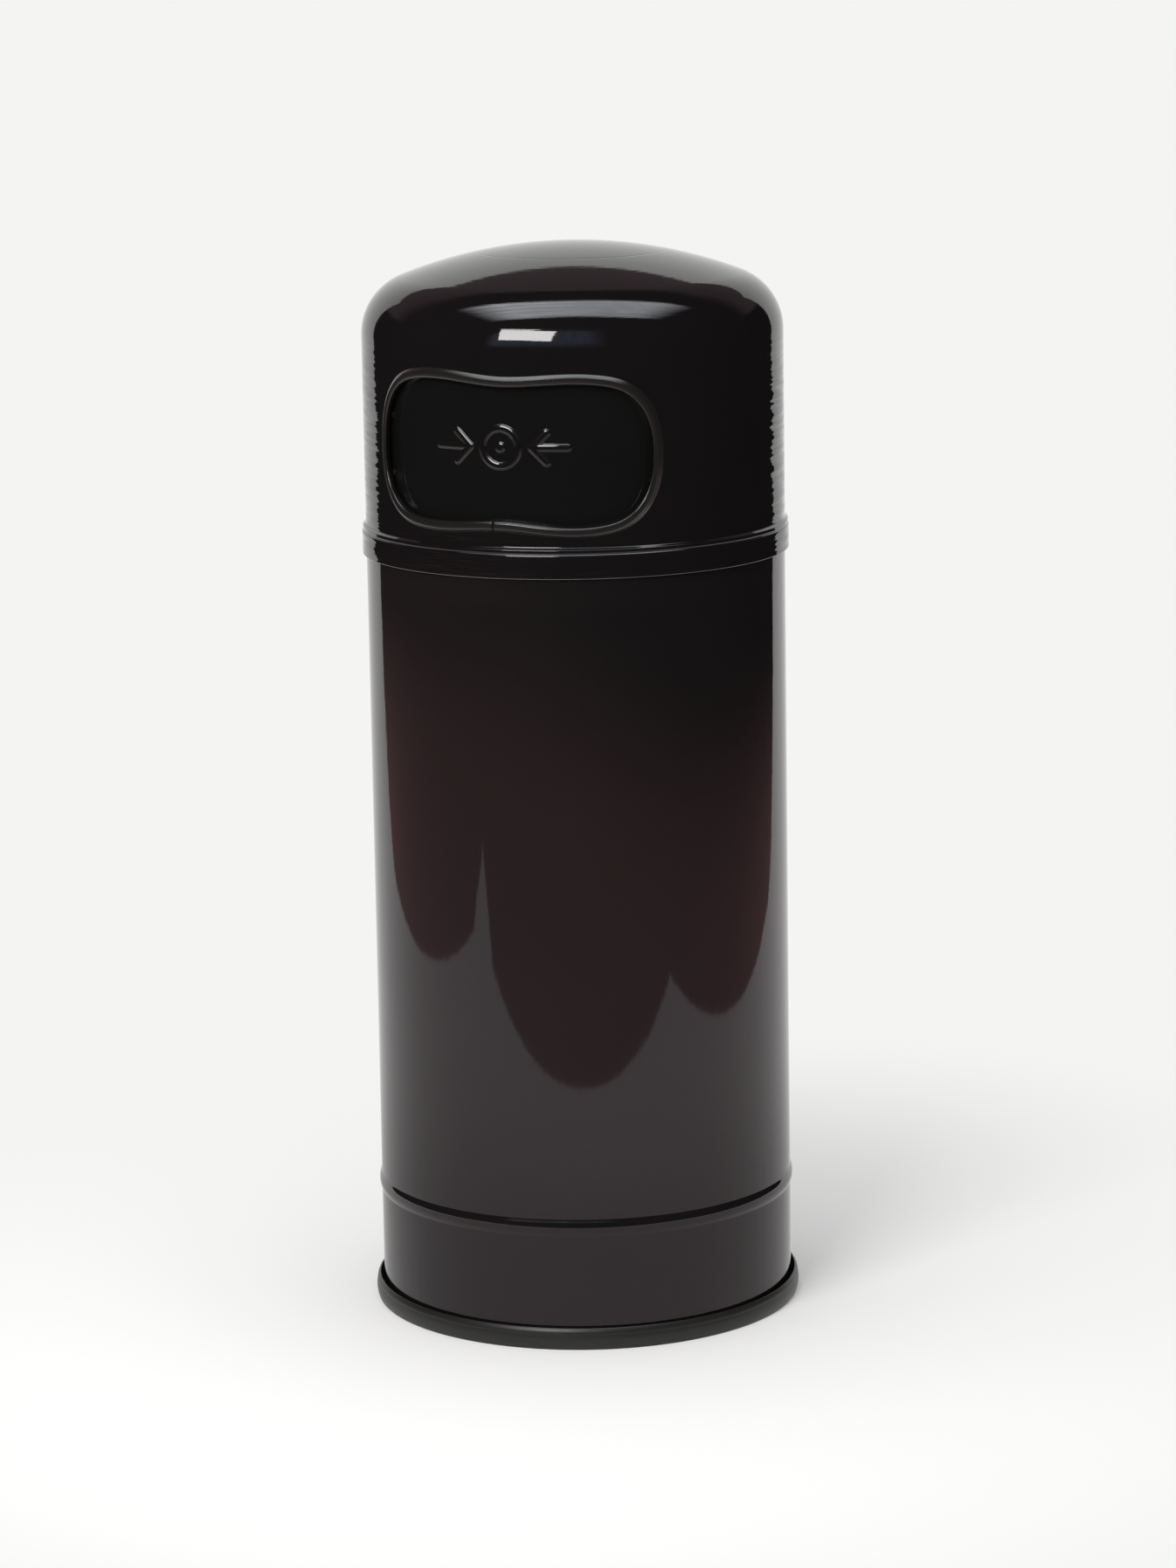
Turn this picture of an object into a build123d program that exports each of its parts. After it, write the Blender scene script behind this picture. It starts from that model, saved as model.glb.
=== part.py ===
from build123d import *

import os
from math import asin, cos, degrees, hypot, radians, sin, sqrt, tan

# Round litter bin: a rolled steel body on a rubber foot ring, a spun domed hood with a
# sprung push flap behind a rubber-trimmed opening, and a lift-out liner with a bail.
# Millimetres. The origin is the centre of the base on the floor, +Z is up and the flap faces -Y.

# ---- driving dimensions -------------------------------------------------------------
WALL_RADIUS = 175.0  # outer face of the body, and of the hood above its rim
SHEET = 1.0  # steel sheet of the body and the hood
WALL_INSIDE = WALL_RADIUS - SHEET
TOTAL_HEIGHT = 898.6

# foot ring
RING_RADIUS = 181.5  # at the fullest part of the lip
RING_FULLEST = 6.5
RING_SHOULDER = 12.5  # where the lip starts to round in
RING_HEIGHT = 18.0
RING_FLOOR = 3.0  # rubber under the body's lower edge
RING_INSIDE = 171.4

# body
BODY_TOP = 666.8
BEAD_MIDDLE = 102.5
BEAD_HALF_HEIGHT = 7.0
BEAD_RISE = 1.9
SEAM_WIDTH = 12.0  # lapped seam up the back
SEAM_RISE = 0.6
HOOP_HEIGHT = 28.0  # stiffening hoop inside the mouth
HOOP_THICKNESS = 1.6
PAN_THICKNESS = 1.2
PAN_BOTTOM = 16.0
PAN_FLANGE = 20.0

# hood
SKIRT_RADIUS = 178.1
SKIRT_BOTTOM = 643.5
SKIRT_TOP = 662.4
STEP_RADIUS = 177.5  # upper step of the rim
FLARE_TOP = 668.8  # where the rim meets the straight wall
KNUCKLE_RADIUS = 50.6
CROWN_RADIUS = 396.0

# opening in the hood, measured along the wall
OPENING_HEIGHT = 743.5  # height of its centre
CUT_OUTLINE = (128.2, 57.5, 50.0)  # half width, half height and corner radius
TRIM_BESIDE_CUT = 5.0  # rubber outside the cut edge
TRIM_INSIDE_CUT = 3.5  # rubber inside the cut edge
TRIM_PROUD = 3.0
TRIM_BEHIND = 3.4
CORNER_LIFT = 2.4  # the rubber swells the ends of the long sides by this much
CORNER_SKEW = 1.4  # and more at two opposite corners
TRIM_JOINT_ANGLE = -2.2  # butt joint in the lower run
TRIM_JOINT_GAP = 0.3

# flap and its hinge
FLAP_OUTSIDE = 169.0
FLAP_THICKNESS = 2.5
FLAP_OUTLINE = (129.5, 61.0, 54.0)
FLAP_LIP_DEPTH = 6.0
FLAP_LIP_TOP = 785.0
HINGE_Y = -140.0
HINGE_Z = 815.0
ROD_RADIUS = 2.5
ROD_END = 92.0
RUNNING_GAP = 0.08  # radial clearance of turning fits
BARREL_RADIUS = 6.0
BARREL_START = 40.0
BARREL_END = 70.0
BRACKET_X = 86.0
BRACKET_THICKNESS = 1.5
BRACKET_BOTTOM = 808.8
BRACKET_TOP = 824.6
CLIP_THICKNESS = 0.8
SPRING_WIRE = 1.6
SPRING_RADIUS = 4.5
SPRING_TURNS = 5
SPRING_PITCH = 1.9
SPRING_START = 73.0

# raised push symbol on the flap
SYMBOL_X = -3.0
SYMBOL_Z = 748.5
SYMBOL_RADIUS = 18.25
SYMBOL_STROKE = 6.0
SYMBOL_HALF_WIDTH = 57.5
SYMBOL_PROUD = 1.2

# liner and bail
LINER_TOP = 640.0
LINER_BOTTOM = 17.5
LINER_RADIUS = 160.0
LINER_FOOT_RADIUS = 155.0
LINER_SHEET = 0.8
LINER_RIM_RADIUS = 3.0  # rolled rim
EAR_THICKNESS = 2.0
EAR_HALF_WIDTH = 11.0
EAR_BOTTOM = 602.0
BAIL_HEIGHT = LINER_TOP + 4.3
BAIL_WIRE = 3.0  # radius of the wire
BAIL_X = 150.0
BAIL_LEG = 14.0  # straight leg before the bow starts
GRIP_RADIUS = 4.1
GRIP_ANGLE = 22.0  # each side of the middle of the bow

os.makedirs("parts", exist_ok=True)


def rounded_outline(half_width, half_height, corner, swell=0.0):
    """Closed outline about the opening's centre, seen from the front. Its width is measured along
    the curved wall. Swell lifts the ends of the long sides, two opposite corners more than the rest."""
    points = []
    for side_x, side_z in ((1, 1), (-1, 1), (-1, -1), (1, -1)):
        lift = swell * (CORNER_LIFT + (CORNER_SKEW if side_x != side_z else -CORNER_SKEW))
        turns = (0, 30, 60, 90) if side_x == side_z else (90, 60, 30, 0)
        for turn in turns:
            along = side_x * (half_width - corner + corner * cos(radians(turn)))
            rise = lift * sin(radians(turn))
            up = side_z * (half_height - corner + corner * sin(radians(turn)) + rise)
            points.append((WALL_RADIUS * sin(along / WALL_RADIUS), OPENING_HEIGHT + up))
        if side_x == side_z:
            points.append((0, OPENING_HEIGHT + side_z * half_height))
    return points


def front_outline(half_width, half_height, corner, swell=0.0, mode=Mode.ADD):
    """Face inside the rounded outline, for a sketch that looks at the bin from the front."""
    with BuildLine() as edge:
        Spline(*rounded_outline(half_width, half_height, corner, swell), periodic=True)
    make_face(edge.edges(), mode=mode)


def front_ring(outer, inner, swell=0.0):
    """Block between two outlines, run from the bin's middle out past its front."""
    with BuildSketch(Plane.XZ) as ring:
        front_outline(*outer, swell)
        front_outline(*inner, swell, mode=Mode.SUBTRACT)
    extrude(ring.sketch, amount=WALL_RADIUS + 20)


def front_block(outline, swell=0.0, mode=Mode.ADD):
    """Block inside one outline, run from the bin's middle out past its front."""
    with BuildSketch(Plane.XZ) as block:
        front_outline(*outline, swell)
    extrude(block.sketch, amount=WALL_RADIUS + 20, mode=mode)


def grown(outline, amount):
    """The same outline with every side moved out by an amount."""
    return tuple(value + amount for value in outline)


def wall_tube(outside, inside, bottom, top, mode=Mode.ADD):
    """Tube on the bin's axis between two heights."""
    with BuildSketch(Plane.XY.offset(bottom)) as ring:
        Circle(outside)
        Circle(inside, mode=Mode.SUBTRACT)
    extrude(ring.sketch, amount=top - bottom, mode=mode)


# ---- foot ring: rubber channel pressed over the body's lower edge ---------------------
with BuildPart() as foot_ring:
    with BuildSketch(Plane.XZ):
        with BuildLine():
            sole = Line((RING_INSIDE, 0), (RING_RADIUS - 1.5, 0))
            lip = ThreePointArc(
                sole @ 1, (RING_RADIUS, RING_FULLEST), (RING_RADIUS - 0.6, RING_SHOULDER)
            )
            shoulder = ThreePointArc(
                lip @ 1,
                (RING_RADIUS - 1.3, RING_HEIGHT - 2.3),
                (RING_RADIUS - 2.6, RING_HEIGHT - 0.3),
            )
            lip_edge = ThreePointArc(
                shoulder @ 1,
                (RING_RADIUS - 3.0, RING_HEIGHT),
                (RING_RADIUS - 3.5, RING_HEIGHT - 0.7),
            )
            Polyline(
                lip_edge @ 1,
                (RING_RADIUS - 3.3, RING_FLOOR + 1.5),
                (WALL_RADIUS + 1.5, RING_FLOOR),
                (WALL_INSIDE - 0.1, RING_FLOOR),
                (WALL_INSIDE - 0.1, RING_HEIGHT - 4),
                (RING_INSIDE + 0.6, RING_HEIGHT - 4),
                (RING_INSIDE, RING_HEIGHT - 6),
                sole @ 0,
            )
        make_face()
    revolve(axis=Axis.Z)

foot_ring.part.label = "foot_ring"
export_step(foot_ring.part, "parts/foot_ring.step")


# ---- body shell: rolled sheet with one raised bead and a lapped seam at the back ------
with BuildPart() as body_shell:
    with BuildSketch(Plane.XZ) as wall_section:
        with BuildLine():
            outside_bead = ThreePointArc(
                (WALL_RADIUS, BEAD_MIDDLE - BEAD_HALF_HEIGHT),
                (WALL_RADIUS + BEAD_RISE, BEAD_MIDDLE),
                (WALL_RADIUS, BEAD_MIDDLE + BEAD_HALF_HEIGHT),
            )
            inside_bead = ThreePointArc(
                (WALL_INSIDE, BEAD_MIDDLE + BEAD_HALF_HEIGHT),
                (WALL_INSIDE + BEAD_RISE, BEAD_MIDDLE),
                (WALL_INSIDE, BEAD_MIDDLE - BEAD_HALF_HEIGHT),
            )
            Polyline(outside_bead @ 1, (WALL_RADIUS, BODY_TOP), (WALL_INSIDE, BODY_TOP), inside_bead @ 0)
            Polyline(inside_bead @ 1, (WALL_INSIDE, RING_FLOOR), (WALL_RADIUS, RING_FLOOR), outside_bead @ 0)
        make_face()
        bead_ends = wall_section.vertices().filter_by(
            lambda v: abs(abs(v.Y - BEAD_MIDDLE) - BEAD_HALF_HEIGHT) < 0.01
        )
        fillet(bead_ends, radius=4)
        mouth_edge = wall_section.vertices().sort_by(Axis.Y)[-2:]
        fillet(mouth_edge, radius=0.4)
    revolve(axis=Axis.Z)
    bead_margin = BEAD_HALF_HEIGHT + 2
    for seam_bottom, seam_top in (
        (RING_HEIGHT + 4, BEAD_MIDDLE - bead_margin),
        (BEAD_MIDDLE + bead_margin, SKIRT_BOTTOM - 10),
    ):
        with BuildSketch(Plane.XY.offset(seam_bottom)):
            Circle(WALL_RADIUS + SEAM_RISE)
            Circle(WALL_RADIUS - SHEET / 2, mode=Mode.SUBTRACT)
            with Locations((0, WALL_RADIUS)):
                Rectangle(SEAM_WIDTH, 4 * SHEET, mode=Mode.INTERSECT)
        extrude(amount=seam_top - seam_bottom)

body_shell.part.label = "body_shell"
export_step(body_shell.part, "parts/body_shell.step")


# ---- body hoop: flat steel hoop that keeps the mouth round ----------------------------
with BuildPart() as body_hoop:
    hoop_top = BODY_TOP - 2
    wall_tube(WALL_INSIDE, WALL_INSIDE - HOOP_THICKNESS, hoop_top - HOOP_HEIGHT, hoop_top)
    hoop_edges = body_hoop.edges().filter_by(GeomType.CIRCLE).sort_by(SortBy.RADIUS)[:2]
    chamfer(hoop_edges, length=0.5)

body_hoop.part.label = "body_hoop"
export_step(body_hoop.part, "parts/body_hoop.step")


# ---- base pan: dished floor with an upturned flange welded inside the body ------------
with BuildPart() as base_pan:
    with BuildSketch(Plane.XZ) as pan_section:
        with BuildLine():
            Polyline(
                (0, PAN_BOTTOM - 4),
                (119, PAN_BOTTOM - 4),
                (125, PAN_BOTTOM),
                (WALL_INSIDE, PAN_BOTTOM),
                (WALL_INSIDE, PAN_BOTTOM + PAN_FLANGE),
                (WALL_INSIDE - PAN_THICKNESS, PAN_BOTTOM + PAN_FLANGE),
                (WALL_INSIDE - PAN_THICKNESS, PAN_BOTTOM + PAN_THICKNESS),
                (124.5, PAN_BOTTOM + PAN_THICKNESS),
                (118.5, PAN_BOTTOM - 4 + PAN_THICKNESS),
                (0, PAN_BOTTOM - 4 + PAN_THICKNESS),
                close=True,
            )
        make_face()
        fillet(pan_section.vertices().filter_by_position(Axis.X, 110, 130), radius=3)
    revolve(axis=Axis.Z)

base_pan.part.label = "base_pan"
export_step(base_pan.part, "parts/base_pan.step")


# ---- hood shell: spun dome and wall with a stepped rim and the opening cut through ----
def dome_arcs(radius, knuckle, crown):
    """Knuckle and crown arcs from the top of a straight wall to the axis, both about fixed centres."""
    crown_centre = TOTAL_HEIGHT - CROWN_RADIUS
    knuckle_x = radius - knuckle
    lean = asin(knuckle_x / (crown - knuckle))
    knuckle_z = crown_centre + knuckle_x / tan(lean)
    knuckle_arc = CenterArc((knuckle_x, knuckle_z), knuckle, 0, 90 - degrees(lean))
    crown_arc = CenterArc((0, crown_centre), crown, 90 - degrees(lean), degrees(lean))
    return knuckle_arc, crown_arc


with BuildPart() as hood_shell:
    with BuildSketch(Plane.XZ) as hood_section:
        with BuildLine():
            outside_knuckle, outside_crown = dome_arcs(WALL_RADIUS, KNUCKLE_RADIUS, CROWN_RADIUS)
            inside_knuckle, inside_crown = dome_arcs(
                WALL_INSIDE, KNUCKLE_RADIUS - SHEET, CROWN_RADIUS - SHEET
            )
            Line(outside_crown @ 1, inside_crown @ 1)
            Polyline(
                outside_knuckle @ 0,
                (WALL_RADIUS, FLARE_TOP),
                (STEP_RADIUS, FLARE_TOP - 1.9),
                (STEP_RADIUS, SKIRT_TOP + 2.1),
                (STEP_RADIUS - 0.5, SKIRT_TOP + 1.1),
                (SKIRT_RADIUS, SKIRT_TOP),
                (SKIRT_RADIUS, SKIRT_BOTTOM),
                (SKIRT_RADIUS - 1.6, SKIRT_BOTTOM),
                (SKIRT_RADIUS - 1.6, SKIRT_BOTTOM + 4),
                (SKIRT_RADIUS - SHEET, SKIRT_BOTTOM + 4.6),
                (SKIRT_RADIUS - SHEET, SKIRT_TOP - 0.4),
                (STEP_RADIUS - 1.4, SKIRT_TOP + 0.9),
                (STEP_RADIUS - 1.4, FLARE_TOP - 2.9),
                (WALL_INSIDE, FLARE_TOP - 0.8),
                inside_knuckle @ 0,
            )
        make_face()
        for corner, radius in (
            ((WALL_RADIUS, FLARE_TOP), 2.0),
            ((STEP_RADIUS, FLARE_TOP - 1.9), 1.1),
            ((STEP_RADIUS - 0.5, SKIRT_TOP + 1.1), 0.4),
            ((SKIRT_RADIUS, SKIRT_TOP), 2.0),
            ((SKIRT_RADIUS, SKIRT_BOTTOM), 0.6),
            ((SKIRT_RADIUS - 1.6, SKIRT_BOTTOM), 0.6),
        ):
            fillet(hood_section.vertices().sort_by_distance((*corner, 0))[0], radius=radius)
    revolve(axis=Axis.Z)
    front_block(CUT_OUTLINE, swell=1.0, mode=Mode.SUBTRACT)

hood_shell.part.label = "hood_shell"
export_step(hood_shell.part, "parts/hood_shell.step")


# ---- aperture trim: rubber edging pressed over the cut edge, butted in the lower run --
with BuildPart() as cut_sheet:
    wall_tube(WALL_RADIUS, WALL_INSIDE, OPENING_HEIGHT - 100, OPENING_HEIGHT + 82)
    front_block(CUT_OUTLINE, swell=1.0, mode=Mode.SUBTRACT)

with BuildPart() as aperture_trim:
    front_ring(grown(CUT_OUTLINE, TRIM_BESIDE_CUT), grown(CUT_OUTLINE, -TRIM_INSIDE_CUT), swell=1.0)
    wall_tube(
        WALL_RADIUS + TRIM_PROUD,
        WALL_INSIDE - TRIM_BEHIND,
        OPENING_HEIGHT - 100,
        OPENING_HEIGHT + 82,
        mode=Mode.INTERSECT,
    )
    add(cut_sheet.part, mode=Mode.SUBTRACT)
    proud_edges = aperture_trim.edges().filter_by(
        lambda e: all(
            abs(hypot(point.X, point.Y) - WALL_RADIUS - TRIM_PROUD) < 0.01
            for point in e.positions((0, 0.3, 0.6, 1))
        )
    )
    fillet(proud_edges, radius=TRIM_PROUD - 0.4)
    joint_x = WALL_RADIUS * sin(radians(TRIM_JOINT_ANGLE))
    with Locations((joint_x, -WALL_RADIUS, OPENING_HEIGHT - CUT_OUTLINE[1])):
        Box(TRIM_JOINT_GAP, 30, 30, mode=Mode.SUBTRACT)

aperture_trim.part.label = "aperture_trim"
export_step(aperture_trim.part, "parts/aperture_trim.step")


# ---- hinge brackets: plate across the rod with a flange spot-welded to the wall -------
for side, side_name in ((-1, "left"), (1, "right")):
    with BuildPart() as hinge_bracket:
        wall_tube(WALL_INSIDE, WALL_INSIDE - BRACKET_THICKNESS, BRACKET_BOTTOM, BRACKET_TOP)
        with Locations((side * (BRACKET_X + 9), HINGE_Y, HINGE_Z)):
            Box(18, 60, 60, mode=Mode.INTERSECT)
        with BuildSketch(Plane.YZ.offset(side * BRACKET_X)) as plate:
            with BuildLine():
                Polyline(
                    (HINGE_Y - 10, BRACKET_BOTTOM),
                    (HINGE_Y + 9, BRACKET_BOTTOM),
                    (HINGE_Y + 9, BRACKET_TOP),
                    (HINGE_Y - 10, BRACKET_TOP),
                    close=True,
                )
            make_face()
            fillet(plate.vertices().group_by(Axis.X)[-1], radius=6)
        extrude(amount=side * BRACKET_THICKNESS)
        with Locations(Plane((side * BRACKET_X, HINGE_Y, HINGE_Z), z_dir=(1, 0, 0))):
            Cylinder(ROD_RADIUS, 10, mode=Mode.SUBTRACT)

    hinge_bracket.part.label = f"hinge_bracket_{side_name}"
    export_step(hinge_bracket.part, f"parts/hinge_bracket_{side_name}.step")


# ---- hinge rod: grooved for a clip outside each bracket -------------------------------
CLIP_START = BRACKET_X + BRACKET_THICKNESS + 0.2
GROOVE_RADIUS = ROD_RADIUS - 0.5

with BuildPart() as hinge_rod:
    with Locations(Plane((0, HINGE_Y, HINGE_Z), z_dir=(1, 0, 0))):
        Cylinder(ROD_RADIUS, 2 * ROD_END)
    chamfer(hinge_rod.edges().filter_by(GeomType.CIRCLE), length=0.5)
    for side in (-1, 1):
        groove_middle = side * (CLIP_START + CLIP_THICKNESS / 2)
        with BuildSketch(Plane((groove_middle, HINGE_Y, HINGE_Z), z_dir=(1, 0, 0))):
            Circle(ROD_RADIUS + 1)
            Circle(GROOVE_RADIUS, mode=Mode.SUBTRACT)
        extrude(amount=CLIP_THICKNESS / 2, both=True, mode=Mode.SUBTRACT)

hinge_rod.part.label = "hinge_rod"
export_step(hinge_rod.part, "parts/hinge_rod.step")


# ---- rod clips: open spring-steel washers sprung into the rod's grooves ---------------
for side, side_name in ((-1, "left"), (1, "right")):
    clip_middle = Plane(
        (side * (CLIP_START + CLIP_THICKNESS / 2), HINGE_Y, HINGE_Z), x_dir=(0, 1, 0), z_dir=(1, 0, 0)
    )
    with BuildPart() as rod_clip:
        with BuildSketch(clip_middle):
            Circle(4.8)
            Circle(GROOVE_RADIUS, mode=Mode.SUBTRACT)
            with Locations((4, 0)):
                Rectangle(8, 3, mode=Mode.SUBTRACT)
        extrude(amount=CLIP_THICKNESS / 2, both=True)

    rod_clip.part.label = f"rod_clip_{side_name}"
    export_step(rod_clip.part, f"parts/rod_clip_{side_name}.step")


# ---- torsion springs: one leg on the hood's wall, the other behind the flap -----------
coil_start = (-SPRING_START, HINGE_Y, HINGE_Z)
coil = Helix(
    SPRING_PITCH,
    SPRING_PITCH * SPRING_TURNS,
    SPRING_RADIUS,
    center=coil_start,
    direction=(-1, 0, 0),
)
coil = coil.rotate(Axis(coil_start, (1, 0, 0)), -90)  # brings both ends to the flap's side

with BuildPart() as torsion_spring_left:
    with BuildSketch(Plane(coil @ 0, z_dir=coil % 0)):
        Circle(SPRING_WIRE / 2)
    sweep(path=coil, is_frenet=True)
    for leg_start, leg_direction, leg_length in (
        (coil @ 0, (0, -0.13, -1), 26),
        (coil @ 1, (0, -0.6, 1), 14),
    ):
        with Locations(leg_start):
            Sphere(SPRING_WIRE / 2)
        with BuildSketch(Plane(leg_start, z_dir=leg_direction)):
            Circle(SPRING_WIRE / 2)
        extrude(amount=leg_length)

torsion_spring_left.part.label = "torsion_spring_left"
export_step(torsion_spring_left.part, "parts/torsion_spring_left.step")

with BuildPart() as torsion_spring_right:
    mirror(torsion_spring_left.part, about=Plane.YZ)

torsion_spring_right.part.label = "torsion_spring_right"
export_step(torsion_spring_right.part, "parts/torsion_spring_right.step")


# ---- flap: curved panel with a stiffening lip, raised symbol, hinge barrels and ribs --
def stroke(start, end):
    """Round-ended stroke between two points of a sketch."""
    run = Vector(*end) - Vector(*start)
    angle = degrees(asin(run.Y / run.length)) * (1 if run.X >= 0 else -1)
    with Locations((Vector(*start) + Vector(*end)) / 2):
        SlotCenterToCenter(run.length, SYMBOL_STROKE, rotation=angle)


with BuildPart() as raised_symbol:
    with BuildSketch(Plane.XZ):
        with Locations((SYMBOL_X, SYMBOL_Z)):
            Circle(SYMBOL_RADIUS)
            Circle(SYMBOL_RADIUS - SYMBOL_STROKE, mode=Mode.SUBTRACT)
            Circle(SYMBOL_STROKE * 0.7)
        for side in (-1, 1):
            tip = (SYMBOL_X + side * (SYMBOL_RADIUS + 8), SYMBOL_Z)
            tail = (SYMBOL_X + side * (SYMBOL_HALF_WIDTH - SYMBOL_STROKE / 2), SYMBOL_Z)
            stroke(tip, tail)
            for rise in (-12, 12):
                stroke(tip, (tip[0] + side * 12, SYMBOL_Z + rise))
    extrude(amount=WALL_RADIUS + 20)
    wall_tube(FLAP_OUTSIDE + SYMBOL_PROUD, FLAP_OUTSIDE - 0.5, 700, 800, mode=Mode.INTERSECT)

with BuildPart() as flap_lip:
    front_ring(FLAP_OUTLINE, grown(FLAP_OUTLINE, -FLAP_THICKNESS))
    wall_tube(
        FLAP_OUTSIDE - FLAP_THICKNESS + 0.5,
        FLAP_OUTSIDE - FLAP_THICKNESS - FLAP_LIP_DEPTH,
        OPENING_HEIGHT - 90,
        FLAP_LIP_TOP,
        mode=Mode.INTERSECT,
    )

with BuildPart() as flap_panel:
    front_block(FLAP_OUTLINE)
    wall_tube(
        FLAP_OUTSIDE,
        FLAP_OUTSIDE - FLAP_THICKNESS,
        OPENING_HEIGHT - 90,
        OPENING_HEIGHT + 90,
        mode=Mode.INTERSECT,
    )
    add(flap_lip.part)
    add(raised_symbol.part)
    barrel_length = BARREL_END - BARREL_START
    for side in (-1, 1):
        with Locations(
            Plane((side * (BARREL_START + BARREL_END) / 2, HINGE_Y, HINGE_Z), z_dir=(1, 0, 0))
        ):
            Cylinder(BARREL_RADIUS, barrel_length)
        for rib_x in (BARREL_START + 2, BARREL_END - 5):
            behind_panel = -sqrt((FLAP_OUTSIDE - FLAP_THICKNESS / 2) ** 2 - (rib_x + 1.5) ** 2)
            with BuildSketch(Plane.YZ.offset(side * rib_x)):
                with BuildLine():
                    Polyline(
                        (HINGE_Y - 3, HINGE_Z + 5),
                        (behind_panel, OPENING_HEIGHT + FLAP_OUTLINE[1] - 2),
                        (behind_panel, HINGE_Z - 34),
                        (HINGE_Y + 3, HINGE_Z - 5),
                        close=True,
                    )
                make_face()
            extrude(amount=side * 3)
    with Locations(Plane((0, HINGE_Y, HINGE_Z), z_dir=(1, 0, 0))):
        Cylinder(ROD_RADIUS + RUNNING_GAP, 2 * ROD_END, mode=Mode.SUBTRACT)

flap_panel.part.label = "flap_panel"
export_step(flap_panel.part, "parts/flap_panel.step")


# ---- flap buffers: four rubber dots that meet the back of the trim --------------------
with BuildPart() as flap_buffers:
    for side in (-1, 1):
        for rise in (-24, 24):
            angle = side * (FLAP_OUTLINE[0] - 3.6) / WALL_RADIUS
            outward = (sin(angle), -cos(angle), 0)
            foot = (FLAP_OUTSIDE * outward[0], FLAP_OUTSIDE * outward[1], OPENING_HEIGHT + rise)
            with BuildSketch(Plane(foot, z_dir=outward)):
                Circle(2.6)
            extrude(amount=2, both=True)
    wall_tube(FLAP_OUTSIDE + 1.3, FLAP_OUTSIDE, 700, 790, mode=Mode.INTERSECT)

flap_buffers.part.label = "flap_buffers"
export_step(flap_buffers.part, "parts/flap_buffers.step")


# ---- liner shell: tapered galvanised wall with a rolled rim and two swages ------------
LINER_STRAIGHT = 48.0  # plain length at each end of the taper
LINER_WALL_TOP = LINER_TOP - LINER_RIM_RADIUS
LINER_INSIDE = LINER_RADIUS - LINER_SHEET
RIVET_HEIGHTS = (612.0, 625.0)
RIVET_RADIUS = 2.0


def rivet_shanks(mode=Mode.ADD):
    """Shanks of the ear rivets, or their holes in each ear and the wall behind it."""
    for side in (-1, 1):
        for height in RIVET_HEIGHTS:
            with Locations(Plane((side * (LINER_INSIDE - 0.6), 0, height), z_dir=(1, 0, 0))):
                Cylinder(RIVET_RADIUS, 4.6, mode=mode)


def liner_radius(height):
    """Outside radius of the liner's wall at a height."""
    start = LINER_BOTTOM + LINER_STRAIGHT / 2
    end = LINER_WALL_TOP - LINER_STRAIGHT
    share = min(max((height - start) / (end - start), 0), 1)
    return LINER_FOOT_RADIUS + share * (LINER_RADIUS - LINER_FOOT_RADIUS)


def liner_profile(inset):
    """Points up the liner's wall, moved in by the thickness of its sheet."""
    heights = [LINER_BOTTOM, LINER_BOTTOM + LINER_STRAIGHT / 2]
    rises = [0, 0]
    for swage in (200, 420):
        heights += [swage - 7, swage, swage + 7]
        rises += [0, 2.2, 0]
    heights += [LINER_WALL_TOP - LINER_STRAIGHT, LINER_WALL_TOP]
    rises += [0, 0]
    return [(liner_radius(z) + rise - inset, z) for z, rise in zip(heights, rises)]


with BuildPart() as liner_shell:
    with BuildSketch(Plane.XZ) as liner_section:
        with BuildLine():
            Polyline(*liner_profile(0), *reversed(liner_profile(LINER_SHEET)), close=True)
        make_face()
        swages = liner_section.vertices().filter_by(lambda v: 180 < v.Y < 440)
        fillet(swages, radius=3)
        with Locations((LINER_RADIUS - LINER_SHEET + LINER_RIM_RADIUS, LINER_TOP - LINER_RIM_RADIUS)):
            Circle(LINER_RIM_RADIUS)
    revolve(axis=Axis.Z)
    rivet_shanks(mode=Mode.SUBTRACT)

liner_shell.part.label = "liner_shell"
export_step(liner_shell.part, "parts/liner_shell.step")


# ---- liner base: pressed disc with a downturned flange seamed inside the wall's foot --
with BuildPart() as liner_base:
    flange_radius = LINER_FOOT_RADIUS - LINER_SHEET
    with BuildSketch(Plane.XZ) as liner_base_section:
        with BuildLine():
            Polyline(
                (0, LINER_BOTTOM + 10),
                (flange_radius, LINER_BOTTOM + 10),
                (flange_radius, LINER_BOTTOM),
                (flange_radius - LINER_SHEET, LINER_BOTTOM),
                (flange_radius - LINER_SHEET, LINER_BOTTOM + 10 - LINER_SHEET),
                (0, LINER_BOTTOM + 10 - LINER_SHEET),
                close=True,
            )
        make_face()
        shoulder = (flange_radius, LINER_BOTTOM + 10, 0)
        fillet(liner_base_section.vertices().sort_by_distance(shoulder)[0], radius=1.5)
    revolve(axis=Axis.Z)

liner_base.part.label = "liner_base"
export_step(liner_base.part, "parts/liner_base.step")


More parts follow.
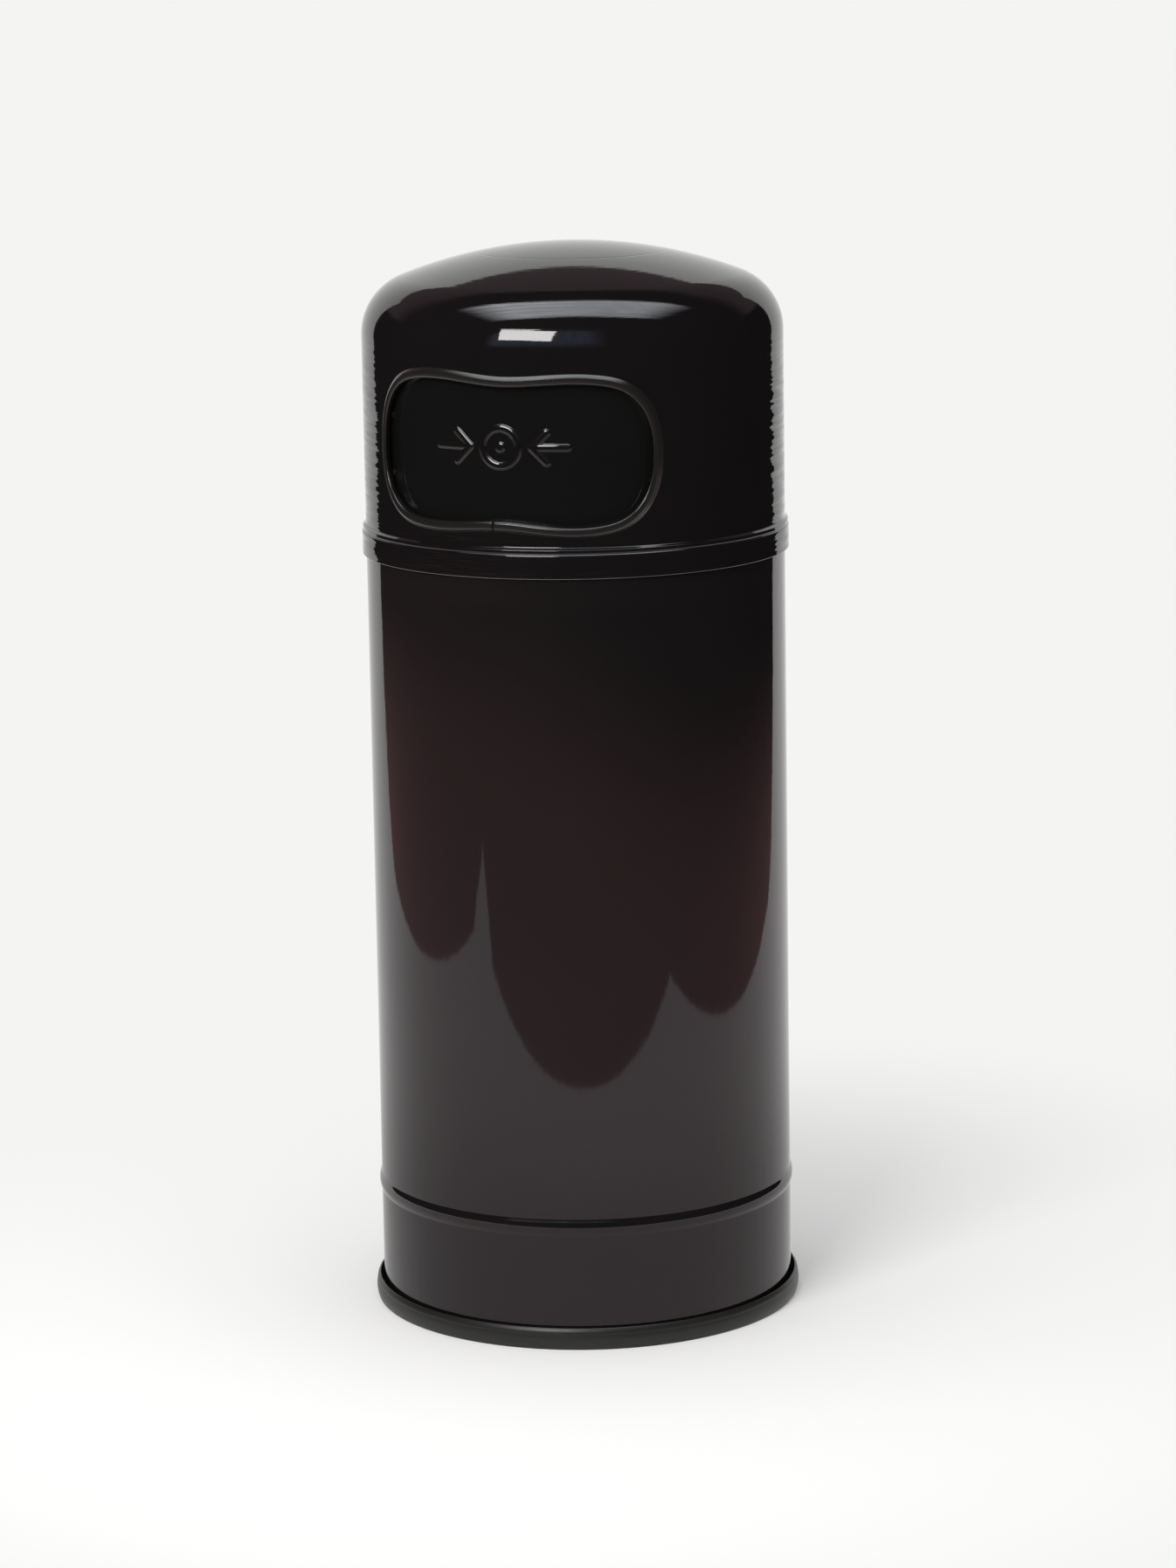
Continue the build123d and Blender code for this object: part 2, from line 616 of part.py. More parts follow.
# ---- liner ears: curved tabs inside the wall whose holes carry the ends of the bail ---
for side, side_name in ((-1, "left"), (1, "right")):
    with BuildPart() as liner_ear:
        with BuildSketch(Plane.YZ):
            with BuildLine():
                tab = Polyline(
                    (-EAR_HALF_WIDTH, BAIL_HEIGHT),
                    (-EAR_HALF_WIDTH, EAR_BOTTOM),
                    (EAR_HALF_WIDTH, EAR_BOTTOM),
                    (EAR_HALF_WIDTH, BAIL_HEIGHT),
                )
                ThreePointArc(tab @ 1, (0, BAIL_HEIGHT + EAR_HALF_WIDTH), tab @ 0)
            make_face()
        extrude(amount=side * (LINER_RADIUS + 10))
        wall_tube(LINER_INSIDE, LINER_INSIDE - EAR_THICKNESS, 590, 670, mode=Mode.INTERSECT)
        rivet_shanks(mode=Mode.SUBTRACT)
        with Locations(Plane((0, 0, BAIL_HEIGHT), z_dir=(1, 0, 0))):
            Cylinder(BAIL_WIRE + RUNNING_GAP, 2 * LINER_RADIUS + 20, mode=Mode.SUBTRACT)

    liner_ear.part.label = f"liner_ear_{side_name}"
    export_step(liner_ear.part, f"parts/liner_ear_{side_name}.step")


# ---- ear rivets: two through each ear and the wall ------------------------------------
with BuildPart() as ear_rivets:
    for side in (-1, 1):
        for height in RIVET_HEIGHTS:
            with Locations(Plane((side * (LINER_INSIDE - 0.6), 0, height), z_dir=(side, 0, 0))):
                Cylinder(RIVET_RADIUS, 6.4)
                for head_middle in (-2.3, 2.3):
                    with Locations((0, 0, head_middle)):
                        Cylinder(2 * RIVET_RADIUS, 1.8)
    wall_tube(LINER_RADIUS, LINER_INSIDE - EAR_THICKNESS, 605, 633, mode=Mode.SUBTRACT)
    rivet_shanks()

ear_rivets.part.label = "ear_rivets"
export_step(ear_rivets.part, "parts/ear_rivets.step")


# ---- bail: round wire bow, its ends turned out through the ears and headed ------------
with BuildPart() as bail_wire:
    bail_plane = Plane.XY.offset(BAIL_HEIGHT)
    with BuildLine(bail_plane) as bail_path:
        bow = CenterArc((0, BAIL_LEG), BAIL_X, 0, 180)
        for side in (-1, 1):
            FilletPolyline(
                (side * BAIL_X, BAIL_LEG), (side * BAIL_X, 0), (side * (LINER_RADIUS + 1), 0), radius=5
            )
    with BuildSketch(Plane(bow @ 0.5, z_dir=bow % 0.5)):
        Circle(BAIL_WIRE)
    sweep(path=bail_path.wire())
    for side in (-1, 1):
        with Locations(Plane((side * (LINER_RADIUS + 1.2), 0, BAIL_HEIGHT), z_dir=(1, 0, 0))):
            Cylinder(BAIL_WIRE + 1, 1.8)

bail_wire.part.label = "bail_wire"
export_step(bail_wire.part, "parts/bail_wire.step")


# ---- bail grip: split plastic sleeve round the middle of the bow ----------------------
with BuildPart() as bail_grip:
    with BuildLine(bail_plane):
        grip_path = CenterArc((0, BAIL_LEG), BAIL_X, 90 - GRIP_ANGLE, 2 * GRIP_ANGLE)
    with BuildSketch(Plane(grip_path @ 0, z_dir=grip_path % 0)):
        Circle(GRIP_RADIUS)
        Circle(BAIL_WIRE, mode=Mode.SUBTRACT)
    sweep(path=grip_path)

bail_grip.part.label = "bail_grip"
export_step(bail_grip.part, "parts/bail_grip.step")
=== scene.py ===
import math

import bpy
import numpy as np
from mathutils import Matrix, Vector


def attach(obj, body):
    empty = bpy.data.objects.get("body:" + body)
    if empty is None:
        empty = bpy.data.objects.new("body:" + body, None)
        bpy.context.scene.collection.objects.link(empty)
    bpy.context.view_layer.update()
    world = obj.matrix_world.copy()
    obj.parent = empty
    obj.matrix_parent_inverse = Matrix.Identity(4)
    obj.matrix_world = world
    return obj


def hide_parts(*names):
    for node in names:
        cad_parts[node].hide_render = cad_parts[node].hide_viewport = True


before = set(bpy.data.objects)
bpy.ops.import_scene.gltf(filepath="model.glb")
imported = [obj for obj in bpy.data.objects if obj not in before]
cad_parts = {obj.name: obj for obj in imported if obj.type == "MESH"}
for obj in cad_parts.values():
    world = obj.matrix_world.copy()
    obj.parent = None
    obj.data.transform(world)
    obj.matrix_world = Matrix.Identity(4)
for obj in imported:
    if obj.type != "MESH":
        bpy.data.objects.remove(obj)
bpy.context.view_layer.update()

# ---- sizes of the shells that are built again here, in millimetres --------------------
WALL = 175.0
SHEET = 1.0
COLUMNS = 384
BEAD_MIDDLE = 102.5
BODY_TOP = 666.8
OPENING_Z = 743.5
CUT = (128.2, 57.5, 50.0)  # half width, half height and corner of the opening
FLAP = (129.5, 61.0, 54.0)  # the same of the flap's panel
FLAP_FACE = 169.0
FLAP_BACK = 166.5
HINGE = (-140.0, 815.0)  # y and z
SYMBOL = (-3.0, 748.5)  # x and z
HOOD_TOP = 898.6
CROWN = 396.0
KNUCKLE = 50.6
WINDOW_BOTTOM = 673.0
WINDOW_TOP = 812.0
TAPER_BOTTOM = 41.5
TAPER_TOP = 589.0


# ---- mesh building --------------------------------------------------------------------
class Skin:
    """Vertices and faces of one piece, gathered row by row in millimetres."""

    def __init__(self):
        self.points, self.faces = [], []

    def row(self, points):
        first = len(self.points)
        self.points.extend(tuple(float(v) for v in p) for p in points)
        return list(range(first, len(self.points)))

    def strip(self, lower, upper, closed=True):
        """Quads between two rows; a vertex that repeats makes a triangle."""
        count = len(lower)
        for k in range(count if closed else count - 1):
            n = (k + 1) % count
            face = []
            for vertex in (lower[k], lower[n], upper[n], upper[k]):
                if vertex not in face:
                    face.append(vertex)
            if len(face) > 2:
                self.faces.append(face)

    def tube(self, rows, closed=True, around=True):
        """Strips from row to row; closed joins the last row to the first."""
        for i in range(len(rows) if closed else len(rows) - 1):
            self.strip(rows[i], rows[(i + 1) % len(rows)], around)


def weighted_normals(points, faces):
    """Vertex normals weighted by area, so that a small fillet leaves its neighbours flat."""
    normals = np.zeros_like(points)
    for size in {len(f) for f in faces}:
        group = np.array([f for f in faces if len(f) == size])
        spokes = points[group] - points[group[:, :1]]
        area = sum(np.cross(spokes[:, i], spokes[:, i + 1]) for i in range(1, size - 1))
        for corner in range(size):
            np.add.at(normals, group[:, corner], area)
    length = np.linalg.norm(normals, axis=1, keepdims=True)
    return normals / np.maximum(length, 1e-12)


def make_piece(skin, name, body, node, material, straighten=None):
    """Object from a skin, riding on a body in place of a CAD node."""
    points = np.array(skin.points)
    normals = weighted_normals(points, skin.faces)
    if straighten:
        straighten(points, normals)
    mesh = bpy.data.meshes.new(name)
    mesh.from_pydata((points * 0.001).tolist(), [], skin.faces)
    mesh.polygons.foreach_set("use_smooth", [True] * len(mesh.polygons))
    mesh.normals_split_custom_set_from_vertices(normals.tolist())
    mesh.materials.append(material)
    piece = bpy.data.objects.new(name, mesh)
    bpy.context.scene.collection.objects.link(piece)
    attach(piece, body)
    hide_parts(node)
    return piece


def rounded(corners, closed=True, steps=6):
    """Points along a line of (x, y, radius) corners."""
    points = []
    count = len(corners)
    for i, (x, y, radius) in enumerate(corners):
        here = np.array((x, y), float)
        if radius == 0 or (not closed and i in (0, count - 1)):
            points.append(here)
            continue
        back = np.array(corners[i - 1][:2]) - here
        ahead = np.array(corners[(i + 1) % count][:2]) - here
        back, ahead = back / np.linalg.norm(back), ahead / np.linalg.norm(ahead)
        half = math.acos(float(np.clip(back @ ahead, -1, 1))) / 2
        middle = (back + ahead) / np.linalg.norm(back + ahead)
        centre = here + middle * radius / math.sin(half)
        first = here + back * radius / math.tan(half) - centre
        last = here + ahead * radius / math.tan(half) - centre
        sweep = math.pi - 2 * half
        for share in np.linspace(0, 1, steps + 1):
            a, b = math.sin((1 - share) * sweep), math.sin(share * sweep)
            points.append(centre + (a * first + b * last) / math.sin(sweep))
    return points


def arc(centre, radius, start, end, steps):
    """Points of an arc between two angles in degrees."""
    return [
        (centre[0] + radius * math.cos(math.radians(t)), centre[1] + radius * math.sin(math.radians(t)))
        for t in np.linspace(start, end, steps + 1)
    ]


def arc_through(a, b, c, steps):
    """Points of the arc through three points."""
    a, b, c = (complex(*p) for p in (a, b, c))
    w = (c - a) / (b - a)
    centre = (b - a) * (w - abs(w) ** 2) / (2j * w.imag) + a
    radius = abs(a - centre)
    spokes = (p - centre for p in (a, b, c))
    start, middle, end = (math.degrees(math.atan2(v.imag, v.real)) for v in spokes)
    while not min(start, end) <= middle <= max(start, end):
        end += 360 if end < middle or end < start else -360
    return arc((centre.real, centre.imag), radius, start, end, steps)


def around_axis(radius, height):
    """Row of points round the bin's axis, from the front towards +X."""
    turns = np.arange(COLUMNS) * 2 * math.pi / COLUMNS
    return [(radius * math.sin(t), -radius * math.cos(t), height) for t in turns]


def lathe_rows(skin, profile):
    """Rows round the axis, one for each (radius, height) of a profile."""
    rows = []
    for radius, height in profile:
        if radius < 1e-6:
            rows.append(skin.row([(0, 0, height)]) * COLUMNS)
        else:
            rows.append(skin.row(around_axis(radius, height)))
    return rows


def periodic_spline(knots, per_span=40):
    """Closed curve with continuous curvature through the knots."""
    knots = np.array(knots, float)
    count = len(knots)
    ahead = np.roll(knots, -1, axis=0)
    h = np.linalg.norm(ahead - knots, axis=1)
    slope = (ahead - knots) / h[:, None]
    system = np.zeros((count, count))
    right = np.zeros((count, 2))
    for i in range(count):
        before, here = h[i - 1], h[i]
        system[i, i - 1] += here
        system[i, i] += 2 * (before + here)
        system[i, (i + 1) % count] += before
        right[i] = 3 * (here * slope[i - 1] + before * slope[i])
    tangent = np.linalg.solve(system, right)
    curve = []
    for i in range(count):
        n = (i + 1) % count
        for s in np.arange(per_span) / per_span:
            curve.append(
                (2 * s**3 - 3 * s**2 + 1) * knots[i]
                + (s**3 - 2 * s**2 + s) * h[i] * tangent[i]
                + (3 * s**2 - 2 * s**3) * knots[n]
                + (s**3 - s**2) * h[i] * tangent[n]
            )
    return np.array(curve)


def front_outline(half_width, half_height, corner, swell=0.0):
    """Outline of the opening seen from the front, its width measured along the wall. Swell lifts
    the ends of the long sides, two opposite corners more than the rest."""
    knots = []
    for side_x, side_z in ((1, 1), (-1, 1), (-1, -1), (1, -1)):
        lift = swell * (2.4 + (1.4 if side_x != side_z else -1.4))
        for turn in (0, 30, 60, 90) if side_x == side_z else (90, 60, 30, 0):
            along = side_x * (half_width - corner + corner * math.cos(math.radians(turn)))
            up = half_height - corner + (corner + lift) * math.sin(math.radians(turn))
            knots.append((WALL * math.sin(along / WALL), OPENING_Z + side_z * up))
        if side_x == side_z:
            knots.append((0, OPENING_Z + side_z * half_height))
    return periodic_spline(knots)


def reach_of(outline):
    """Distance from the opening's centre to an outline, by direction."""
    offset = outline - np.array((0, OPENING_Z))
    angle = np.arctan2(offset[:, 1], offset[:, 0])
    order = np.argsort(angle)
    distance = np.linalg.norm(offset, axis=1)[order]
    angle = angle[order]
    return lambda a: float(np.interp(a, angle, distance, period=2 * math.pi))


def on_wall(x, z, radius):
    """Point of a cylinder's front half, straight behind a point seen from the front."""
    return (x, -math.sqrt(radius**2 - x**2), z)


def border_of(grid, seats):
    """Loop round a grid of vertices, counterclockwise from outside, with each one's place."""
    last_row, last_column = len(grid) - 1, len(grid[0]) - 1
    loop = [(0, c) for c in range(last_column)]
    loop += [(r, last_column) for r in range(last_row)]
    loop += [(last_row, c) for c in range(last_column, 0, -1)]
    loop += [(r, 0) for r in range(last_row, 0, -1)]
    return [grid[r][c] for r, c in loop], [seats[r][c] for r, c in loop]


def spread_to(skin, border, seats, reach, radius, steps):
    """Rows from a border to an outline, on one cylinder. Gives the rows after the border."""
    rows = [border]
    for share in np.arange(1, steps + 1) / steps:
        points = []
        for x, z in seats:
            angle = math.atan2(z - OPENING_Z, x)
            start = math.hypot(x, z - OPENING_Z)
            distance = start + (reach(angle) - start) * share
            points.append(
                on_wall(distance * math.cos(angle), OPENING_Z + distance * math.sin(angle), radius)
            )
        rows.append(skin.row(points))
    return rows


# ---- materials ------------------------------------------------------------------------
class Nodes:
    """Short hand for building one material's nodes."""

    def __init__(self, name, **values):
        self.material = bpy.data.materials.new(name)
        self.material.use_nodes = True
        self.tree = self.material.node_tree
        self.shader = self.tree.nodes["Principled BSDF"]
        for socket, value in values.items():
            self.shader.inputs[socket.replace("_", " ")].default_value = value
        self.place = self.new("ShaderNodeTexCoord").outputs["Object"]

    def new(self, kind, **settings):
        node = self.tree.nodes.new(kind)
        for key, value in settings.items():
            setattr(node, key, value)
        return node

    def link(self, value, socket):
        if hasattr(value, "is_output"):
            self.tree.links.new(value, socket)
        else:
            socket.default_value = value

    def scaled(self, scale):
        node = self.new("ShaderNodeMapping")
        self.link(self.place, node.inputs["Vector"])
        node.inputs["Scale"].default_value = scale
        return node.outputs["Vector"]

    def noise(self, scale, detail=3.0, rough=0.5, vector=None):
        node = self.new("ShaderNodeTexNoise")
        self.link(self.place if vector is None else vector, node.inputs["Vector"])
        node.inputs["Scale"].default_value = scale
        node.inputs["Detail"].default_value = detail
        node.inputs["Roughness"].default_value = rough
        return node.outputs["Fac"]

    def span(self, value, low, high, out_low, out_high, smooth=False):
        node = self.new("ShaderNodeMapRange")
        if smooth:
            node.interpolation_type = "SMOOTHSTEP"
        self.link(value, node.inputs["Value"])
        sockets = ("From Min", "From Max", "To Min", "To Max")
        for socket, number in zip(sockets, (low, high, out_low, out_high)):
            node.inputs[socket].default_value = number
        return node.outputs["Result"]

    def math(self, operation, a, b=0.0):
        node = self.new("ShaderNodeMath", operation=operation)
        self.link(a, node.inputs[0])
        self.link(b, node.inputs[1])
        return node.outputs["Value"]

    def mixed(self, share, a, b):
        node = self.new("ShaderNodeMix", data_type="RGBA")
        self.link(share, node.inputs["Factor"])
        self.link(a, node.inputs[6])
        self.link(b, node.inputs[7])
        return node.outputs[2]

    def bump(self, height, strength, distance, under=None):
        node = self.new("ShaderNodeBump")
        node.inputs["Strength"].default_value = strength
        node.inputs["Distance"].default_value = distance
        self.link(height, node.inputs["Height"])
        if under is not None:
            self.link(under, node.inputs["Normal"])
        return node.outputs["Normal"]

    def feed(self, **values):
        for socket, value in values.items():
            self.link(value, self.shader.inputs[socket.replace("_", " ")])
        return self.material


def grey(value, warm=0.0):
    return (value * (1 + warm), value, value * (1 - warm), 1.0)


def enamel_body():
    n = Nodes("enamel_body", IOR=1.51, Specular_Tint=(1.0, 0.85, 0.89, 1))
    split = n.new("ShaderNodeSeparateXYZ")
    n.link(n.place, split.inputs["Vector"])
    peel = n.bump(n.noise(1.0, 2, 0.5, n.scaled((480, 480, 60))), 1.0, 0.000018)
    rolled = n.bump(n.noise(1.0, 3, 0.55, n.scaled((22, 22, 0.9))), 1.0, 0.00022, peel)
    haze = n.span(n.noise(1.0, 5, 0.6, n.scaled((9, 9, 3))), 0.35, 0.75, 0.03, 0.055)
    scuff = n.span(n.noise(1.0, 6, 0.7, n.scaled((60, 60, 260))), 0.62, 0.78, 0.0, 0.22)
    low = n.span(split.outputs["Z"], 0.02, 0.13, 1.0, 0.0, True)
    rough = n.math("ADD", haze, n.math("MULTIPLY", scuff, low))
    colour = n.mixed(n.noise(14, 4), (0.0052, 0.0048, 0.0049, 1), (0.0066, 0.006, 0.0061, 1))
    return n.feed(Base_Color=colour, Roughness=rough, Normal=rolled)


def enamel_hood():
    n = Nodes("enamel_hood", IOR=1.5)
    split = n.new("ShaderNodeSeparateXYZ")
    n.link(n.place, split.inputs["Vector"])
    x, y, z = (split.outputs[axis] for axis in "XYZ")
    crown_circle, hem_top, tooth = 0.078, 0.644, 0.03
    radius = n.math("SQRT", n.math("ADD", n.math("MULTIPLY", x, x), n.math("MULTIPLY", y, y)))

    def spun(round_scale, up_scale, detail):
        """Noise drawn out round the axis, as a spinning tool leaves it."""
        drawn = n.new("ShaderNodeCombineXYZ")
        n.link(n.math("MULTIPLY", x, round_scale), drawn.inputs["X"])
        n.link(n.math("MULTIPLY", y, round_scale), drawn.inputs["Y"])
        n.link(n.math("MULTIPLY", radius, up_scale), drawn.inputs["Z"])
        noise = n.new("ShaderNodeTexNoise", noise_dimensions="4D")
        n.link(drawn.outputs["Vector"], noise.inputs["Vector"])
        n.link(n.math("MULTIPLY", z, up_scale), noise.inputs["W"])
        noise.inputs["Scale"].default_value = 1.0
        noise.inputs["Detail"].default_value = detail
        return noise.outputs["Fac"]

    patches = n.span(n.noise(9, 3), 0.4, 0.62, 0.15, 1.0, True)
    lower = n.span(z, 0.8, 0.85, 1.0, 0.35, True)
    streaks = n.math("MULTIPLY", spun(42.0, 330.0, 2.0), n.math("MULTIPLY", patches, lower))
    teeth = n.span(spun(24.0, 300.0, 1.0), 0.3, 0.7, -tooth, tooth)
    swing = n.math("MULTIPLY", teeth, n.span(z, 0.83, 0.79, 0.0, 1.0))
    back = n.math("MULTIPLY", y, -1.0)
    turned = n.new("ShaderNodeCombineXYZ")
    n.link(n.math("MULTIPLY", n.math("DIVIDE", back, radius), swing), turned.inputs["X"])
    n.link(n.math("MULTIPLY", n.math("DIVIDE", x, radius), swing), turned.inputs["Y"])
    rocked = n.new("ShaderNodeVectorMath", operation="ADD")
    n.link(n.new("ShaderNodeNewGeometry").outputs["Normal"], rocked.inputs[0])
    n.link(turned.outputs["Vector"], rocked.inputs[1])
    level = n.new("ShaderNodeVectorMath", operation="NORMALIZE")
    n.link(rocked.outputs["Vector"], level.inputs[0])
    lines = n.bump(spun(5.0, 560.0, 2.0), 1.0, 0.00003, level.outputs["Vector"])
    dashes = n.bump(streaks, 1.0, 0.00009, lines)
    off_centre = n.math("ABSOLUTE", n.math("SUBTRACT", radius, crown_circle))
    groove = n.bump(n.span(off_centre, 0.0, 0.0013, 0.0, 1.0, True), 1.0, 0.00012, dashes)
    peel = n.bump(n.noise(420, 2), 1.0, 0.000008, groove)
    rough = n.span(n.noise(12, 5, 0.6), 0.35, 0.75, 0.03, 0.06)
    colour = n.mixed(n.noise(16, 4), (0.0046, 0.004, 0.0042, 1), (0.0056, 0.0049, 0.0051, 1))
    # painted highlight: a light grey line along the skirt's lower hem edge, broken up by noise
    hem = n.span(z, hem_top - 0.00025, hem_top, 1.0, 0.0, True)
    hem_highlight = n.math("MULTIPLY", hem, n.span(n.noise(30, 4), 0.3, 0.5, 0.4, 0.9))
    colour_and_hem_highlight = n.mixed(hem_highlight, colour, (0.17, 0.17, 0.165, 1))
    return n.feed(Base_Color=colour_and_hem_highlight, Roughness=rough, Normal=peel)


def rubber(name, tone, rough_low, rough_high):
    n = Nodes(name, IOR=1.5)
    grain = n.bump(n.noise(1200, 2), 1.0, 0.000004)
    drawn = n.bump(n.noise(36, 2), 1.0, 0.00005, grain)
    rough = n.span(n.noise(60, 5, 0.65), 0.3, 0.7, rough_low, rough_high)
    dust = n.span(n.noise(180, 6, 0.75), 0.64, 0.84, 0.0, 0.3)
    colour = n.mixed(dust, grey(tone, 0.07), grey(tone * 1.9, 0.07))
    return n.feed(Base_Color=colour, Roughness=rough, Normal=drawn)


def plastic(name, tone, rough_low, rough_high):
    n = Nodes(name, IOR=1.55)
    grain = n.bump(n.noise(700, 2), 1.0, 0.000008)
    sink = n.bump(n.noise(26, 3), 1.0, 0.00012, grain)
    rough = n.span(n.noise(35, 5, 0.6), 0.3, 0.72, rough_low, rough_high)
    scratch = n.span(n.noise(1.0, 5, 0.7, n.scaled((420, 420, 40))), 0.68, 0.75, 0.0, 0.08)
    colour = n.mixed(n.noise(25, 3), grey(tone), grey(tone * 1.35, 0.02))
    return n.feed(Base_Color=colour, Roughness=n.math("ADD", rough, scratch), Normal=sink)


def zinc():
    n = Nodes("zinc_steel", Metallic=1.0)
    drawn = n.bump(n.noise(1.0, 4, 0.6, n.scaled((90, 1400, 1400))), 0.12, 0.0003)
    rough = n.span(n.noise(120, 5, 0.65), 0.3, 0.7, 0.26, 0.46)
    colour = n.mixed(n.noise(70, 5, 0.7), (0.55, 0.56, 0.58, 1), (0.68, 0.68, 0.66, 1))
    return n.feed(Base_Color=colour, Roughness=rough, Normal=drawn)


def spring_steel():
    n = Nodes("spring_steel", Metallic=1.0)
    drawn = n.bump(n.noise(2200, 3), 0.15, 0.0002)
    rough = n.span(n.noise(300, 4), 0.3, 0.7, 0.22, 0.4)
    colour = n.mixed(n.noise(150, 4), (0.2, 0.2, 0.21, 1), (0.34, 0.33, 0.32, 1))
    return n.feed(Base_Color=colour, Roughness=rough, Normal=drawn)


def galvanised():
    n = Nodes("galvanised", Metallic=1.0)
    spangle = n.new("ShaderNodeTexVoronoi")
    spangle.inputs["Scale"].default_value = 95
    wander = n.new("ShaderNodeVectorMath", operation="ADD")
    swirl = n.new("ShaderNodeTexNoise")
    n.link(n.place, swirl.inputs["Vector"])
    swirl.inputs["Scale"].default_value = 60
    shrink = n.new("ShaderNodeVectorMath", operation="SCALE")
    n.link(swirl.outputs["Color"], shrink.inputs[0])
    shrink.inputs["Scale"].default_value = 0.006
    n.link(n.place, wander.inputs[0])
    n.link(shrink.outputs["Vector"], wander.inputs[1])
    n.link(wander.outputs["Vector"], spangle.inputs["Vector"])
    cell = n.new("ShaderNodeSeparateColor")
    n.link(spangle.outputs["Color"], cell.inputs["Color"])
    fine = n.bump(n.noise(800, 4), 0.1, 0.0003)
    facet = n.bump(cell.outputs["Green"], 0.08, 0.0006, fine)
    stain = n.span(n.noise(20, 5), 0.4, 0.8, 0.0, 0.14)
    rough = n.math("ADD", n.span(cell.outputs["Blue"], 0, 1, 0.3, 0.48), stain)
    colour = n.mixed(cell.outputs["Red"], (0.44, 0.46, 0.49, 1), (0.66, 0.68, 0.7, 1))
    return n.feed(Base_Color=colour, Roughness=rough, Normal=facet)


BODY_ENAMEL = enamel_body()
HOOD_ENAMEL = enamel_hood()
TRIM_RUBBER = rubber("trim_rubber", 0.0085, 0.17, 0.22)
RING_RUBBER = rubber("ring_rubber", 0.01, 0.36, 0.42)
FLAP_PLASTIC = plastic("flap_plastic", 0.0038, 0.025, 0.05)
GRIP_PLASTIC = plastic("grip_plastic", 0.02, 0.38, 0.55)
ZINC = zinc()
SPRING = spring_steel()
GALVANISED = galvanised()

NODE_LOOKS = {
    "body_hoop": (BODY_ENAMEL, "enamel"),
    "base_pan": (BODY_ENAMEL, "enamel"),
    "hinge_bracket_left": (ZINC, "zinc_steel"),
    "hinge_bracket_right": (ZINC, "zinc_steel"),
    "hinge_rod": (ZINC, "zinc_steel"),
    "ear_rivets": (ZINC, "zinc_steel"),
    "bail_wire": (ZINC, "zinc_steel"),
    "rod_clip_left": (SPRING, "spring_steel"),
    "rod_clip_right": (SPRING, "spring_steel"),
    "torsion_spring_left": (SPRING, "spring_steel"),
    "torsion_spring_right": (SPRING, "spring_steel"),
    "flap_buffers": (TRIM_RUBBER, "trim_rubber"),
    "liner_base": (GALVANISED, "galvanised"),
    "liner_ear_left": (GALVANISED, "galvanised"),
    "liner_ear_right": (GALVANISED, "galvanised"),
    "bail_grip": (GRIP_PLASTIC, "grip_plastic"),
}
for node_name, (look, slot_name) in NODE_LOOKS.items():
    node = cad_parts[node_name]
    node.data.materials.clear()
    node.data.materials.append(look)


# ---- body shell: bead, lapped seam and the slight waves of rolled sheet ---------------
def bead(shift):
    """Bead and its two blends, bottom to top, on the outer face or shifted in by the sheet."""
    bulge, blend = 13.84, 4.0
    centre = WALL + 1.9 - bulge
    rise = math.sqrt((bulge + blend) ** 2 - (WALL + blend - centre) ** 2)
    lean = math.degrees(math.atan2(rise, WALL + blend - centre))
    points = arc((WALL + blend, BEAD_MIDDLE - rise), blend, 180, 180 - lean, 5)
    points += arc((centre, BEAD_MIDDLE), bulge, -lean, lean, 16)[1:-1]
    points += arc((WALL + blend, BEAD_MIDDLE + rise), blend, 180 + lean, 180, 5)
    return [(r - shift, z) for r, z in points]


def heights(bottom, top, pitch):
    """Heights from one level to another, up or down, about a pitch apart."""
    return np.linspace(bottom, top, max(2, round(abs(top - bottom) / pitch) + 1))


def body_profile():
    outer, inner = bead(0), bead(SHEET)
    profile = rounded([(WALL - 1, 3, 0), (WALL, 3, 0.25), (WALL, 20, 0)], closed=False, steps=3)
    profile += [(WALL, z) for z in heights(20, outer[0][1], 6)[1:-1]] + outer
    profile += [(WALL, z) for z in heights(outer[-1][1], BODY_TOP - 0.4, 6)[1:]]
    profile += arc((WALL - 0.4, BODY_TOP - 0.4), 0.4, 0, 90, 4)[1:]
    profile += arc((WALL - 0.6, BODY_TOP - 0.4), 0.4, 90, 180, 4)
    profile += [(WALL - SHEET, z) for z in heights(BODY_TOP - 0.4, inner[-1][1], 20)[1:-1]]
    profile += inner[::-1]
    return profile + [(WALL - SHEET, z) for z in heights(inner[0][1], 3.4, 20)[1:]]


def rolled_waves(points):
    """Moves the wall in by up to a quarter of a millimetre, in long upright waves."""
    angle = np.arctan2(points[:, 0], -points[:, 1])
    z = points[:, 2]
    dice = np.random.default_rng(11)
    wave = np.zeros(len(points))
    for turns in (2, 3, 5, 7, 8, 11, 13, 17):
        phase = dice.uniform(0, 2 * math.pi)
        drift, twist = dice.uniform(-0.006, 0.006), dice.uniform(0.6, 1.0)
        wave += twist / turns * np.sin(turns * angle + phase + drift * z)
    ease = np.clip((z - 112) / 90, 0, 1) * np.clip((650 - z) / 30, 0, 1)
    depth = 0.085 * (1.6 + wave) * ease
    scale = 1 - depth / np.hypot(points[:, 0], points[:, 1])
    points[:, :2] *= scale[:, None]


